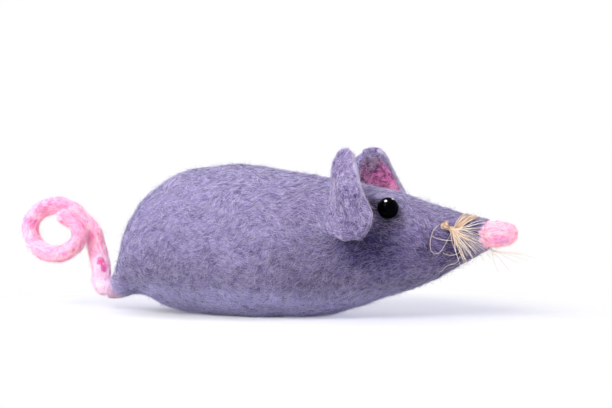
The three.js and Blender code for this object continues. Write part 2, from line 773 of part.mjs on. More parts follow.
/** Adds a named piece with its own material. */
function addPiece(name, geometry, finish) {
  const piece = new THREE.Mesh(closedGeometry(geometry), new THREE.MeshStandardMaterial(finish));
  piece.name = name;
  mouse.add(piece);
}

/** Adds a piece on the mouse's right side and its mirror image on the left. */
function addPair(name, geometry, finish) {
  const closed = closedGeometry(geometry);
  addPiece(`${name}_right`, closed, finish);
  addPiece(`${name}_left`, mirrored(closed), finish);
}

addPiece('body_skin', bodySkin(), LAVENDER_FELT);
addPiece('core_wool', coreWool(), CORE_WOOL);
addPiece('catnip_charge', catnipCapsule(0), DRIED_LEAF);
addPiece('nose_knob', noseKnob(), PINK_FELT);
addPair('ear', ear(), LAVENDER_FELT);
addPair('ear_lining', earLining(), LINING_FELT);
addPair('eye_bead', eyeBead(0), BLACK_BEAD);
addPiece('eye_thread', eyeThread(THREAD_RADIUS, SHANK_RADIUS + GAP), BLACK_THREAD);
addPiece('whisker_twine', whiskerTwine(), STRAW_TWINE);
addPair('whisker_knot', whiskerKnot(), STRAW_TWINE);
addPair('whisker_tuft', whiskerTuft(), STRAW_TWINE);
addPiece('tail_root', tailRoot(), PINK_FELT);
addPiece('tail_curl', tailCurl(), PINK_FELT);

const hingeLow = abovePoint(onEar(EAR_HINGE_LOW), earSeat);
const hingeHigh = abovePoint(onEar(EAR_HINGE_HIGH), earSeat);
const hingeWay = hingeLow.clone().sub(hingeHigh).normalize();
const asText = (vector) => vector.toArray().map((value) => value.toFixed(4)).join(', ');
console.log(`Least gap of the tail to itself: ${curlGap().toFixed(2)} mm`);
console.log(`Right ear hinge: through (${asText(hingeLow)}) along (${asText(hingeWay)})`);
console.log(`Tail swing: through (${asText(pinMouth)}) along (${asText(pinInward)})`);
console.log(`Tail tip: through (${asText(crease)}) along (0, 1, 0)`);

export default mouse;
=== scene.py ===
"""Needle-felted catnip mouse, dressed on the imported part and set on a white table."""

import logging
import math
from dataclasses import dataclass, field, replace
from enum import Enum
from functools import partial

import bmesh
import bpy
import numpy as np
from bpy.types import Material, Mesh, Node, NodeSocket, NodeTree, Object
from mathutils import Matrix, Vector, noise


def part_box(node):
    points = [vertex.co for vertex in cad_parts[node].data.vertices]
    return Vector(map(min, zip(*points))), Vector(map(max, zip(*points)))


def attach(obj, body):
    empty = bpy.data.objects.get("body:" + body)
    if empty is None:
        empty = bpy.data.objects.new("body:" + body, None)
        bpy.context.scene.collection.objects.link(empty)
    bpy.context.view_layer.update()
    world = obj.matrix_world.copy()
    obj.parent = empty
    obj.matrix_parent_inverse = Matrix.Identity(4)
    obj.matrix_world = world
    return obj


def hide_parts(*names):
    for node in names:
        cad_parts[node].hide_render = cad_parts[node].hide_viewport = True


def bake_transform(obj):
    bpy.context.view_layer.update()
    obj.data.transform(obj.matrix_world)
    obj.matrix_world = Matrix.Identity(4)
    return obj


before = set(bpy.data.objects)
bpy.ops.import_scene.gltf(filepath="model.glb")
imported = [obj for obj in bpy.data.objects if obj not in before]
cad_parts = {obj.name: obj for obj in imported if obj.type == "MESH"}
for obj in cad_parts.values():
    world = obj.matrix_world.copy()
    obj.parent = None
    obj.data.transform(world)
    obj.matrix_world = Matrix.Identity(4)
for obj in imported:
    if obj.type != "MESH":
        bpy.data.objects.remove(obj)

LOG = logging.getLogger("catnip_mouse")
MM = 0.001
WAVE_SHIFT = 7.3
DIMPLE_FLAT = 0.35

Colour = tuple[int, int, int]
Pair = tuple[float, float]
Triple = tuple[float, float, float]


class Side(Enum):
    """Side of the mouse, and what its Y is multiplied by: shapes are worked out on the right."""

    RIGHT = 1.0
    LEFT = -1.0

    @property
    def word(self) -> str:
        """Returns: the side's name as it stands in the names of pieces."""
        return self.name.lower()

    def turned(self, points: np.ndarray) -> np.ndarray:
        """Args: points worked out on the right side. Returns: the points on this side."""
        return points * np.array((1.0, self.value, 1.0))


class Slot(Enum):
    """Material slots of the part's record."""

    LAVENDER = "lavender_felt"
    PINK = "pink_felt"
    LINING = "lining_felt"
    CORE = "core_wool"
    LEAF = "dried_leaf"
    BEAD = "black_bead"
    THREAD = "black_thread"
    STRAW = "straw_twine"


def linear(colour: Colour) -> tuple[float, float, float, float]:
    """Args: colour as 0 to 255 in sRGB. Returns: the same colour as linear RGBA."""
    shares = (value / 255 for value in colour)
    return (*(s / 12.92 if s <= 0.04045 else ((s + 0.055) / 1.055) ** 2.4 for s in shares), 1.0)


def smoothstep(value: float | np.ndarray, low: float, high: float) -> float | np.ndarray:
    """Args: value, and where the step starts and ends. Returns: 0 to 1, eased at both ends."""
    share = np.clip((value - low) / (high - low), 0.0, 1.0)
    return share * share * (3 - 2 * share)


def unit(vector: np.ndarray) -> np.ndarray:
    """Args: one vector or rows of them. Returns: the same, one long."""
    return vector / np.linalg.norm(vector, axis=-1, keepdims=True)


def circle(count: int) -> np.ndarray:
    """Args: how many. Returns: that many angles, evenly round a circle."""
    return np.linspace(0.0, math.tau, count, endpoint=False)


def run_along(path: np.ndarray) -> np.ndarray:
    """Args: points of a line. Returns: the way along it to each of them."""
    return np.concatenate(([0.0], np.cumsum(np.linalg.norm(np.diff(path, axis=0), axis=1))))


def placed(name: str, data: bpy.types.ID) -> Object:
    """Args: name, and a mesh, a lamp or a lens. Returns: a new object with it, in the scene."""
    made = bpy.data.objects.new(name, data)
    bpy.context.scene.collection.objects.link(made)
    return made


class SmoothLine:
    """Smooth curve through given points that doesn't overshoot where they lie close."""

    def __init__(self, points: list) -> None:
        """Args: points to pass through, in order."""
        self.points = [np.array(point, float) for point in points]

    def at(self, share: float) -> np.ndarray:
        """Args: share of the way along, by points passed. Returns: the place there."""
        points, last = self.points, len(self.points) - 1
        place = min(max(share, 0.0), 1.0) * last
        first = min(int(place), last - 1)
        here, there = points[first], points[first + 1]
        before = points[first - 1] if first else 2 * here - there
        after = points[first + 2] if first + 2 <= last else 2 * there - here
        lead, span, tail = (
            max(math.sqrt(float(np.linalg.norm(b - a))), 1e-4)
            for a, b in ((before, here), (here, there), (there, after))
        )
        leave = (here - before) / lead - (there - before) / (lead + span) + (there - here) / span
        arrive = (there - here) / span - (after - here) / (span + tail) + (after - there) / tail
        leave, arrive, t = leave * span, arrive * span, place - first
        bend = 3 * (there - here) - 2 * leave - arrive
        return here + leave * t + bend * t**2 + (2 * (here - there) + leave + arrive) * t**3

    def even(self, count: int, detail: int = 12) -> np.ndarray:
        """Args: how many places, and steps between points. Returns: places the same way apart."""
        steps = np.linspace(0.0, 1.0, detail * len(self.points))
        path = np.array([self.at(step) for step in steps])
        run = run_along(path)
        wanted = np.linspace(0.0, run[-1], count)
        return np.stack([np.interp(wanted, run, path[:, axis]) for axis in range(3)], axis=1)


@dataclass
class Shape:
    """Mesh in the making, in millimetres, with values at its vertices."""

    ASKEW = (0.31, 0.87, 0.38)

    vertices: np.ndarray
    faces: list
    values: dict[str, np.ndarray] = field(default_factory=dict)

    @classmethod
    def loft(cls, rings: list[np.ndarray]) -> "Shape":
        """Args: closed rings of as many points each. Returns: the skin over them, with its ends."""
        sides, count = len(rings[0]), len(rings)
        faces = [
            (
                row * sides + side,
                row * sides + (side + 1) % sides,
                (row + 1) * sides + (side + 1) % sides,
                (row + 1) * sides + side,
            )
            for row in range(count - 1)
            for side in range(sides)
        ]
        faces.append(tuple(range(sides))[::-1])
        faces.append(tuple((count - 1) * sides + side for side in range(sides)))
        return cls(np.concatenate(rings), faces)

    @classmethod
    def tube(cls, path: np.ndarray, radii: np.ndarray, sides: int) -> "Shape":
        """Args: centre line, radius at each of its points, sides. Returns: the tube, with grain."""
        along = unit(np.gradient(path, axis=0))
        normal = np.cross(along[0], cls.ASKEW)
        angles = circle(sides)[:, None]
        rings = []
        for place, ahead, radius in zip(path, along, radii):
            normal = unit(normal - ahead * float(normal @ ahead))
            across = np.cross(ahead, normal)
            rings.append(place + radius * (np.cos(angles) * normal + np.sin(angles) * across))
        shape = cls.loft(rings)
        shape.values["grain"] = np.repeat(along, sides, axis=0)
        return shape

    @classmethod
    def joined(cls, shapes: list["Shape"]) -> "Shape":
        """Args: shapes with the same values. Returns: all of them as one mesh."""
        starts = np.cumsum([0] + [len(shape.vertices) for shape in shapes])
        faces = [
            tuple(int(start) + corner for corner in face)
            for start, shape in zip(starts, shapes)
            for face in shape.faces
        ]
        names = shapes[0].values
        values = {name: np.concatenate([shape.values[name] for shape in shapes]) for name in names}
        return cls(np.concatenate([shape.vertices for shape in shapes]), faces, values)

    def piece(self, name: str, finish: Material) -> Object:
        """Args: name and finish. Returns: the object, in metres, at the origin."""
        mesh = bpy.data.meshes.new(name)
        mesh.from_pydata((self.vertices * MM).tolist(), [], self.faces)
        for key, rows in self.values.items():
            vector = rows.ndim == 2
            kept = mesh.attributes.new(key, "FLOAT_VECTOR" if vector else "FLOAT", "POINT")
            kept.data.foreach_set("vector" if vector else "value", rows.astype(np.float32).ravel())
        work = bmesh.new()
        work.from_mesh(mesh)
        bmesh.ops.recalc_face_normals(work, faces=work.faces)
        work.to_mesh(mesh)
        work.free()
        mesh.polygons.foreach_set("use_smooth", [True] * len(mesh.polygons))
        mesh.materials.append(finish)
        return placed(name, mesh)


@dataclass(frozen=True)
class Wave:
    """One size of lump in a felted surface: how far apart lumps are and how deep, in mm."""

    size: float
    depth: float


@dataclass(frozen=True)
class Dimple:
    """Hollow pressed into a felted surface, in mm."""

    centre: Triple
    radius: float
    depth: float


def roughen(
    piece: Object,
    waves: tuple[Wave, ...],
    seed: float,
    dimples: tuple[Dimple, ...] = (),
    floor: float | None = None,
) -> None:
    """Works lumps and dimples into a piece.

    Args:
        piece: object to change.
        waves: lumps to add.
        seed: shift of the lumps, so that no two pieces are alike.
        dimples: hollows to press in.
        floor: lowest height that a vertex may have, in mm.
    """
    mesh = piece.data
    places, normals = (np.empty(3 * len(mesh.vertices)) for _ in range(2))
    mesh.vertices.foreach_get("co", places)
    mesh.vertices.foreach_get("normal", normals)
    places, normals = places.reshape(-1, 3) / MM, normals.reshape(-1, 3)
    rise = np.zeros(len(places))
    for turn, wave in enumerate(waves):
        shifted = places / wave.size + seed + WAVE_SHIFT * turn
        rise += wave.depth * np.array([noise.noise(Vector(place)) for place in shifted])
    for dimple in dimples:
        away = np.linalg.norm(places - np.array(dimple.centre), axis=1)
        rise -= dimple.depth * (1 - smoothstep(away, DIMPLE_FLAT * dimple.radius, dimple.radius))
    places = places + normals * rise[:, None]
    if floor is not None:
        places[:, 2] = np.maximum(places[:, 2], floor)
    mesh.vertices.foreach_set("co", (places * MM).ravel())
    mesh.update()


class Graph:
    """Builder of node trees that fills sockets with values or with links."""

    def __init__(self, tree: NodeTree) -> None:
        """Args: tree to build in."""
        self.tree = tree

    @staticmethod
    def socket(sockets, key: str | int) -> NodeSocket:
        """Args: a node's sockets, and a name or number. Returns: that socket, among those in use."""
        if isinstance(key, int):
            return sockets[key]
        return next(socket for socket in sockets if socket.enabled and socket.name == key)

    def add(self, kind: str, given: dict | None = None, **settings) -> Node:
        """Args: node type, what its inputs are given, and its settings. Returns: the new node."""
        node = self.tree.nodes.new(kind)
        for key, value in settings.items():
            setattr(node, key, value)
        self.give(node, given or {})
        return node

    def give(self, node: Node, given: dict) -> None:
        """Args: a node, and what each of its inputs is given."""
        for key, value in given.items():
            self.fill(self.socket(node.inputs, key), value)

    def fill(self, socket: NodeSocket, value) -> None:
        """Args: an input, and a constant, an output or a node whose first output is meant."""
        if isinstance(value, Node):
            value = next(output for output in value.outputs if output.enabled)
        if isinstance(value, NodeSocket):
            self.tree.links.new(value, socket)
        else:
            socket.default_value = value

    def math(self, operation: str, *values) -> Node:
        """Args: operation and its operands. Returns: the node."""
        return self.add("ShaderNodeMath", dict(enumerate(values)), operation=operation)

    def vector(self, operation: str, *values) -> Node:
        """Args: operation and its operands. Returns: the node."""
        return self.add("ShaderNodeVectorMath", dict(enumerate(values)), operation=operation)

    def scaled(self, vector, factor) -> Node:
        """Args: vector and number. Returns: the node that multiplies them."""
        return self.add("ShaderNodeVectorMath", {0: vector, "Scale": factor}, operation="SCALE")

    def eased(self, value, low, high) -> Node:
        """Args: value and where the step starts and ends. Returns: the node, from 0 to 1."""
        given = {"Value": value, "From Min": low, "From Max": high}
        return self.add("ShaderNodeMapRange", given, interpolation_type="SMOOTHSTEP")

    def mix(self, share, first, second) -> NodeSocket:
        """Args: share of the second colour, and both. Returns: the mixed colour."""
        given = {"Factor": share, "A": first, "B": second}
        node = self.add("ShaderNodeMix", given, data_type="RGBA")
        return self.socket(node.outputs, "Result")

    def group(self, tree: NodeTree, given: dict) -> Node:
        """Args: shader group and its inputs. Returns: the group's node."""
        return self.add("ShaderNodeGroup", given, node_tree=tree)


def new_group(name: str, kind: str, inputs: dict[str, str], outputs: dict[str, str]) -> Graph:
    """Starts a node group.

    Args:
        name: the group's name.
        kind: type of tree.
        inputs: name and type of each input.
        outputs: name and type of each output.

    Returns:
        A builder for the group's tree.
    """
    tree = bpy.data.node_groups.new(name, kind)
    for way, sockets in (("INPUT", inputs), ("OUTPUT", outputs)):
        for key, word in sockets.items():
            tree.interface.new_socket(key, in_out=way, socket_type=f"NodeSocket{word}")
    return Graph(tree)


def new_material(name: str) -> tuple[Material, Graph, Node]:
    """Args: name. Returns: the material, a builder for its tree, and its shader."""
    made = bpy.data.materials.new(name)
    made.use_nodes = True
    return made, Graph(made.node_tree), made.node_tree.nodes["Principled BSDF"]


class SharedEffects:
    """Shader groups that several finishes use; the scales of noises are waves to a mm."""

    SWIRL = {"Scale": 0.22, "Detail": 2.0}
    SWIRL_PUSH = 9.0
    DRAWN_OUT = (0.35, 1.0, 0.8)
    FINE = {"Detail": 4.0, "Distortion": 1.4}
    FINE_SHARE = 0.45
    BROAD = {"Detail": 3.0}
    BROAD_SHARE = 0.55
    MID_STEP = (0.2, 0.5)
    HIGH_STEP = (0.5, 0.85)
    RAGGED = {"Scale": 0.9, "Detail": 3.0}

    def __init__(self) -> None:
        """Makes the groups."""
        self.felt = self.felt_tone()
        self.spot = self.spot_tint()

    @staticmethod
    def millimetres(graph: Graph) -> Node:
        """Args: builder. Returns: the node with the place on the object in mm."""
        place = graph.add("ShaderNodeTexCoord")
        return graph.scaled(place.outputs["Object"], 1 / MM)

    def felt_tone(self) -> NodeTree:
        """Returns: group that mottles three tones of wool along swirling fibres."""
        inputs = {"Low": "Color", "Mid": "Color", "High": "Color", "Tone": "Float"}
        inputs |= {"Grain": "Float", "Patch": "Float", "Contrast": "Float"}
        graph = new_group("FeltTone", "ShaderNodeTree", inputs, {"Colour": "Color", "Height": "Float"})
        given = graph.add("NodeGroupInput").outputs
        place = self.millimetres(graph)
        swirl = graph.add("ShaderNodeTexNoise", {"Vector": place} | self.SWIRL)
        pushed = graph.vector("SUBTRACT", swirl.outputs["Color"], (0.5, 0.5, 0.5))
        warped = graph.vector("ADD", place, graph.scaled(pushed, self.SWIRL_PUSH))
        drawn = graph.vector("MULTIPLY", warped, self.DRAWN_OUT)
        fine = graph.add("ShaderNodeTexNoise", {"Vector": drawn, "Scale": given["Grain"]} | self.FINE)
        broad = graph.add("ShaderNodeTexNoise", {"Vector": place, "Scale": given["Patch"]} | self.BROAD)
        share = graph.math("MULTIPLY", fine, self.FINE_SHARE)
        both = graph.math("MULTIPLY_ADD", broad.outputs[0], self.BROAD_SHARE, share)
        spread = graph.math("MULTIPLY_ADD", graph.math("SUBTRACT", both, 0.5), given["Contrast"], 0.5)
        tone = graph.math("ADD", spread, graph.math("SUBTRACT", given["Tone"], 0.5))
        dark = graph.mix(graph.eased(tone, *self.MID_STEP), given["Low"], given["Mid"])
        out = graph.mix(graph.eased(tone, *self.HIGH_STEP), dark, given["High"])
        graph.add("NodeGroupOutput", {"Colour": out, "Height": fine.outputs[0]})
        return graph.tree

    def spot_tint(self) -> NodeTree:
        """Returns: group that tints three tones of wool round a place, with a ragged edge."""
        tones = ("Low", "Mid", "High")
        inputs = {name: "Color" for name in tones} | {f"Tint {name}": "Color" for name in tones}
        inputs |= {"Centre": "Vector", "Stretch": "Vector"}
        inputs |= {"Radius": "Float", "Softness": "Float", "Wobble": "Float", "Amount": "Float"}
        graph = new_group("SpotTint", "ShaderNodeTree", inputs, {name: "Color" for name in tones})
        given = graph.add("NodeGroupInput").outputs
        place = self.millimetres(graph)
        away = graph.vector("DIVIDE", graph.vector("SUBTRACT", place, given["Centre"]), given["Stretch"])
        reach = graph.vector("LENGTH", away).outputs["Value"]
        ragged = graph.add("ShaderNodeTexNoise", {"Vector": place} | self.RAGGED)
        push = graph.math("MULTIPLY", graph.math("SUBTRACT", ragged.outputs[0], 0.5), given["Wobble"])
        edge = graph.math("ADD", given["Radius"], given["Softness"])
        mask = graph.eased(graph.math("ADD", reach, push), edge, given["Radius"])
        share = graph.math("MULTIPLY", mask, given["Amount"])
        tinted = {name: graph.mix(share, given[name], given[f"Tint {name}"]) for name in tones}
        graph.add("NodeGroupOutput", tinted)
        return graph.tree


@dataclass(frozen=True)
class Spot:
    """Tint round a place on a felt piece, in mm; some are tones of the wool, others painted light and shade.
    """

    LIGHTER = 0.42

    centre: Triple
    radius: float
    softness: float
    tint: Colour
    amount: float = 1.0
    wobble: float = 2.0
    stretch: Triple = (1.0, 1.0, 1.0)
    low_share: float = 0.68

    def tones(self) -> dict[str, Colour]:
        """Returns: darker, plain and lighter tone of the tint."""
        low = tuple(round(self.low_share * value) for value in self.tint)
        high = tuple(round(value + self.LIGHTER * (255 - value)) for value in self.tint)
        return {"Low": low, "Mid": self.tint, "High": high}


@dataclass(frozen=True)
class FeltFinish:
    """Wool felt in three tones, for a surface or for the fibres on it."""

    SURFACE_TONE = 0.44
    FIBRE_TONE = (1.04, 0.02)
    FIBRE_CONTRAST = 0.5
    BUMP_DEPTH = 0.4
    MATT = {"Roughness": 0.95, "Specular IOR Level": 0.0, "Sheen Roughness": 0.5}

    name: str
    low: Colour
    mid: Colour
    high: Colour
    grain: float = 2.0
    patch: float = 0.55
    contrast: float = 1.9
    sheen: float = 0.12
    bump: float = 0.35
    # glow: painted glow, a share of the felt's own colour given off as emission, standing in for light
    # passing through pale wool
    glow: float = 0.0
    # rim: painted highlight, a pale colour mixed in along an edge by a value stored at each vertex
    rim: Colour | None = None
    spots: tuple[Spot, ...] = ()

    def build(self, effects: SharedEffects, on_fibres: bool) -> Material:
        """Makes the material.

        Args:
            effects: shared shader groups.
            on_fibres: whether each fibre adds its own tone.

        Returns:
            The material.
        """
        made, graph, shader = new_material(f"{self.name}_{'fibres' if on_fibres else 'felt'}")
        tone, contrast = self.SURFACE_TONE, self.contrast
        if on_fibres:
            own = graph.add("ShaderNodeAttribute", attribute_name="fibre_tone").outputs["Fac"]
            tone = graph.math("MULTIPLY_ADD", own, *self.FIBRE_TONE)
            contrast *= self.FIBRE_CONTRAST
        tones = {"Low": linear(self.low), "Mid": linear(self.mid), "High": linear(self.high)}
        for spot in self.spots:
            given = tones | {f"Tint {name}": linear(tint) for name, tint in spot.tones().items()}
            given |= {"Centre": spot.centre, "Stretch": spot.stretch, "Radius": spot.radius}
            given |= {"Softness": spot.softness, "Wobble": spot.wobble, "Amount": spot.amount}
            tinted = graph.group(effects.spot, given).outputs
            tones = {name: tinted[name] for name in tones}
        given = tones | {"Tone": tone, "Grain": self.grain, "Patch": self.patch, "Contrast": contrast}
        felt = graph.group(effects.felt, given)
        colour = felt.outputs["Colour"]
        # mixes in the painted edge highlight
        if self.rim:
            edge = graph.add("ShaderNodeAttribute", attribute_name="rim").outputs["Fac"]
            colour = graph.mix(edge, colour, linear(self.rim))
        look = {"Base Color": colour, "Sheen Weight": self.sheen, "Sheen Tint": linear(self.high)}
        # painted glow: the felt gives off its own colour
        look |= {"Emission Color": colour, "Emission Strength": self.glow}
        if not on_fibres:
            lumps = {"Height": felt.outputs["Height"], "Strength": self.bump}
            lumps["Distance"] = self.BUMP_DEPTH * MM
            look["Normal"] = graph.add("ShaderNodeBump", lumps)
        graph.give(shader, self.MATT | look)
        return made


@dataclass(frozen=True)
class PlainFinish:
    """Smooth finish of one colour, or of three by a value stored on each strand."""

    name: str
    colour: Colour
    roughness: float
    specular: float
    dark: Colour | None = None
    light: Colour | None = None
    bending: float = 1.5

    def build(self) -> Material:
        """Returns: the material."""
        made, graph, shader = new_material(self.name)
        colour = linear(self.colour)
        if self.dark and self.light:
            tone = graph.add("ShaderNodeAttribute", attribute_name="fibre_tone").outputs["Fac"]
            shade = graph.mix(graph.eased(tone, 0.0, 0.5), linear(self.dark), colour)
            colour = graph.mix(graph.eased(tone, 0.5, 1.0), shade, linear(self.light))
        look = {"Base Color": colour, "Roughness": self.roughness, "IOR": self.bending}
        graph.give(shader, look | {"Specular IOR Level": self.specular})
        return made


def bake_map(mesh: Mesh, points: int, sides: int) -> None:
    """Gives each strand of a mesh its own cell of a map, for textures made from the finish.

    Args:
        mesh: strands made one after another, ring by ring.
        points: rings in a strand.
        sides: vertices in a ring.
    """
    margin, inside = 0.1, 0.8
    corners = np.empty(len(mesh.loops), np.int64)
    mesh.loops.foreach_get("vertex_index", corners)
    starts, totals = (np.empty(len(mesh.polygons), np.int64) for _ in range(2))
    mesh.polygons.foreach_get("loop_start", starts)
    mesh.polygons.foreach_get("loop_total", totals)
    side = corners % sides
    walls = starts[totals == 4][:, None] + np.arange(4)
    around = side[walls]
    wraps = (around.min(axis=1) == 0) & (around.max(axis=1) == sides - 1)
    around[wraps] = np.where(around[wraps] == 0, sides, around[wraps])
    side[walls] = around
    strand = corners // (points * sides)
    columns = math.ceil(math.sqrt(len(mesh.vertices) / (points * sides)))
    along = (corners // sides % points) / (points - 1)
    left = (strand % columns + margin + inside * side / sides) / columns
    up = (strand // columns + margin + inside * along) / columns
    layer = mesh.uv_layers.new(name="OFBake")
    layer.data.foreach_set("uv", np.stack([left, up], axis=1).astype(np.float32).ravel())


@dataclass(frozen=True)
class FibreLayer:
    """Loose fibres laid over a felt piece; lengths in mm, turns in degrees."""

    name: str
    per_area: float
    length: float
    radius: float
    bend: float
    bend_size: float
    lift: float
    tip_lift: float
    seed: int
    swirl_size: float = 9.0
    swirl_turn: float = 540.0
    spread: float = 40.0
    points: int = 4

    def inputs(self) -> dict[str, float]:
        """Returns: what the tree of the fibres is given, in metres and radians."""
        lengths = {"Length": self.length, "Radius": self.radius, "Bend": self.bend, "Lift": self.lift}
        lengths |= {"Bend Size": self.bend_size, "Tip Lift": self.tip_lift, "Swirl Size": self.swirl_size}
        turns = {"Swirl Turn": self.swirl_turn, "Spread": self.spread}
        given = {name: length * MM for name, length in lengths.items()}
        given |= {name: math.radians(turn) for name, turn in turns.items()}
        return given | {"Density": self.per_area / MM**2, "Seed": self.seed, "Points": self.points}


class FibreMaker:
    """Lays fibres on pieces with one Geometry Nodes tree."""

    SIDES = 3
    NUMBERS = ("Density", "Length", "Radius", "Bend", "Bend Size", "Lift", "Tip Lift")
    TURNS = ("Swirl Size", "Swirl Turn", "Spread")
    END_SHARPNESS = 3.0
    END_LOSS = -0.75
    SHORTEST, LONGEST = 0.5, 1.3
    TONE_SHIFT = 60.0
    TURN_SEED, SIZE_SEED = 3.0, 5.0
    LOWEST = (-1.0, -1.0, 0.05 * MM)

    def __init__(self) -> None:
        """Makes the tree."""
        self.tree = self.build()

    def build(self) -> NodeTree:
        """Returns: the tree that scatters, bends and lays the fibres."""
        inputs = {"Geometry": "Geometry"} | {name: "Float" for name in self.NUMBERS + self.TURNS}
        inputs |= {"Seed": "Int", "Points": "Int", "Material": "Material"}
        graph = new_group("WoolFibres", "GeometryNodeTree", inputs, {"Geometry": "Geometry"})
        given = graph.add("NodeGroupInput").outputs
        laid = self.laid(graph, given, self.realised(graph, given))
        way = graph.add("GeometryNodeSplineParameter").outputs["Factor"]
        edge = graph.math("ABSOLUTE", graph.math("MULTIPLY_ADD", way, 2.0, -1.0))
        taper = graph.math("MULTIPLY_ADD", graph.math("POWER", edge, self.END_SHARPNESS), self.END_LOSS, 1.0)
        ring = graph.add(
            "GeometryNodeCurvePrimitiveCircle", {"Resolution": self.SIDES, "Radius": given["Radius"]}
        )
        skin = {"Curve": laid, "Profile Curve": ring, "Scale": taper, "Fill Caps": True}
        mesh = graph.add("GeometryNodeCurveToMesh", skin)
        real = graph.add("GeometryNodeRealizeInstances", {"Geometry": mesh})
        dressed = {"Geometry": real, "Material": given["Material"]}
        graph.add("NodeGroupOutput", {0: graph.add("GeometryNodeSetMaterial", dressed)})
        return graph.tree

    def realised(self, graph: Graph, given) -> Node:
        """Args: builder and the tree's inputs. Returns: the straight fibres, each with a tone."""
        spots = {"Mesh": given["Geometry"], "Density": given["Density"], "Seed": given["Seed"]}
        scatter = graph.add("GeometryNodeDistributePointsOnFaces", spots)
        tone = graph.add("FunctionNodeRandomValue", {"Min": 0.0, "Max": 1.0, "Seed": given["Seed"]})
        stored = {"Geometry": scatter, "Name": "fibre_tone", "Value": tone}
        toned = graph.add("GeometryNodeStoreNamedAttribute", stored)
        grain = graph.add("GeometryNodeInputNamedAttribute", {"Name": "grain"}, data_type="FLOAT_VECTOR")
        turned = {"Rotation": scatter.outputs["Rotation"], "Vector": grain}
        aligned = graph.add("FunctionNodeAlignRotationToVector", turned, axis="X", pivot_axis="Z")
        swirl = {"Scale": graph.math("DIVIDE", 1.0, given["Swirl Size"]), "Detail": 1.0}
        field_turn = graph.math("SUBTRACT", graph.add("ShaderNodeTexNoise", swirl).outputs[0], 0.5)
        reach = {"Min": -1.0, "Max": 1.0, "Seed": graph.math("ADD", given["Seed"], self.TURN_SEED)}
        own_turn = graph.add("FunctionNodeRandomValue", reach)
        own = graph.math("MULTIPLY", own_turn, given["Spread"])
        turn = graph.math("MULTIPLY_ADD", field_turn, given["Swirl Turn"], own)
        spin = graph.add("FunctionNodeAxisAngleToRotation", {"Axis": (0.0, 0.0, 1.0), "Angle": turn})
        pose = {"Rotation": aligned, "Rotate By": spin}
        rotation = graph.add("FunctionNodeRotateRotation", pose, rotation_space="LOCAL")
        line = graph.add("GeometryNodeCurvePrimitiveLine", {"Start": (-0.5, 0, 0), "End": (0.5, 0, 0)})
        cut = graph.add("GeometryNodeResampleCurve", {"Curve": line, "Count": given["Points"]})
        sizes = {"Min": self.SHORTEST, "Max": self.LONGEST}
        sizes["Seed"] = graph.math("ADD", given["Seed"], self.SIZE_SEED)
        size = graph.math("MULTIPLY", graph.add("FunctionNodeRandomValue", sizes), given["Length"])
        copies = {"Points": toned, "Instance": cut, "Rotation": rotation, "Scale": size}
        instances = graph.add("GeometryNodeInstanceOnPoints", copies)
        return graph.add("GeometryNodeRealizeInstances", {"Geometry": instances})

    def laid(self, graph: Graph, given, fibres: Node) -> Node:
        """Args: builder, inputs and straight fibres. Returns: the fibres bent and laid down."""
        tone = graph.add("GeometryNodeInputNamedAttribute", {"Name": "fibre_tone"}, data_type="FLOAT")
        place = graph.add("GeometryNodeInputPosition")
        waves = {
            "Vector": place,
            "W": graph.math("MULTIPLY", tone, self.TONE_SHIFT),
            "Scale": graph.math("DIVIDE", 1.0, given["Bend Size"]),
            "Detail": 1.0,
        }
        drift = graph.add("ShaderNodeTexNoise", waves, noise_dimensions="4D").outputs["Color"]
        shift = graph.scaled(graph.vector("SUBTRACT", drift, (0.5, 0.5, 0.5)), given["Bend"])
        bent = graph.add("GeometryNodeSetPosition", {"Geometry": fibres, "Offset": shift})
        below = {"Mesh": given["Geometry"], "Value": place, "Sample Position": place}
        kind = "GeometryNodeSampleNearestSurface"
        foot = graph.add(kind, below, data_type="FLOAT_VECTOR")
        below["Value"] = graph.add("GeometryNodeInputNormal")
        normal = graph.add(kind, below, data_type="FLOAT_VECTOR")
        way = graph.add("GeometryNodeSplineParameter").outputs["Factor"]
        loose = graph.math("MULTIPLY", graph.math("POWER", way, 2.0), given["Tip Lift"])
        tip = graph.math("MULTIPLY", loose, graph.math("POWER", tone, 2.0))
        rise = graph.math("MULTIPLY_ADD", tone, given["Lift"], tip)
        top = graph.vector("ADD", foot, graph.scaled(graph.vector("NORMALIZE", normal), rise))
        kept = graph.vector("MAXIMUM", top, self.LOWEST)
        return graph.add("GeometryNodeSetPosition", {"Geometry": bent, "Position": kept})

    def lay(self, surface: Object, layer: FibreLayer, finish: Material) -> Object:
        """Lays one layer of fibres.

        Args:
            surface: piece that they lie on.
            layer: sizes of the fibres.
            finish: their material.

        Returns:
            The fibres as one plain mesh.
        """
        holder = placed(f"{layer.name}_holder", surface.data)
        work = holder.modifiers.new("Fibres", "NODES")
        work.node_group = self.tree
        values = layer.inputs() | {"Material": finish}
        for item in self.tree.interface.items_tree:
            if item.in_out == "INPUT" and item.name in values:
                work[item.identifier] = values[item.name]
        ready = bpy.context.evaluated_depsgraph_get()
        mesh = bpy.data.meshes.new_from_object(holder.evaluated_get(ready))
        bpy.data.objects.remove(holder)
        mesh.name = layer.name
        bake_map(mesh, layer.points, self.SIDES)
        LOG.info("%s: %d fibres", layer.name, len(mesh.vertices) // (layer.points * self.SIDES))
        return placed(layer.name, mesh)


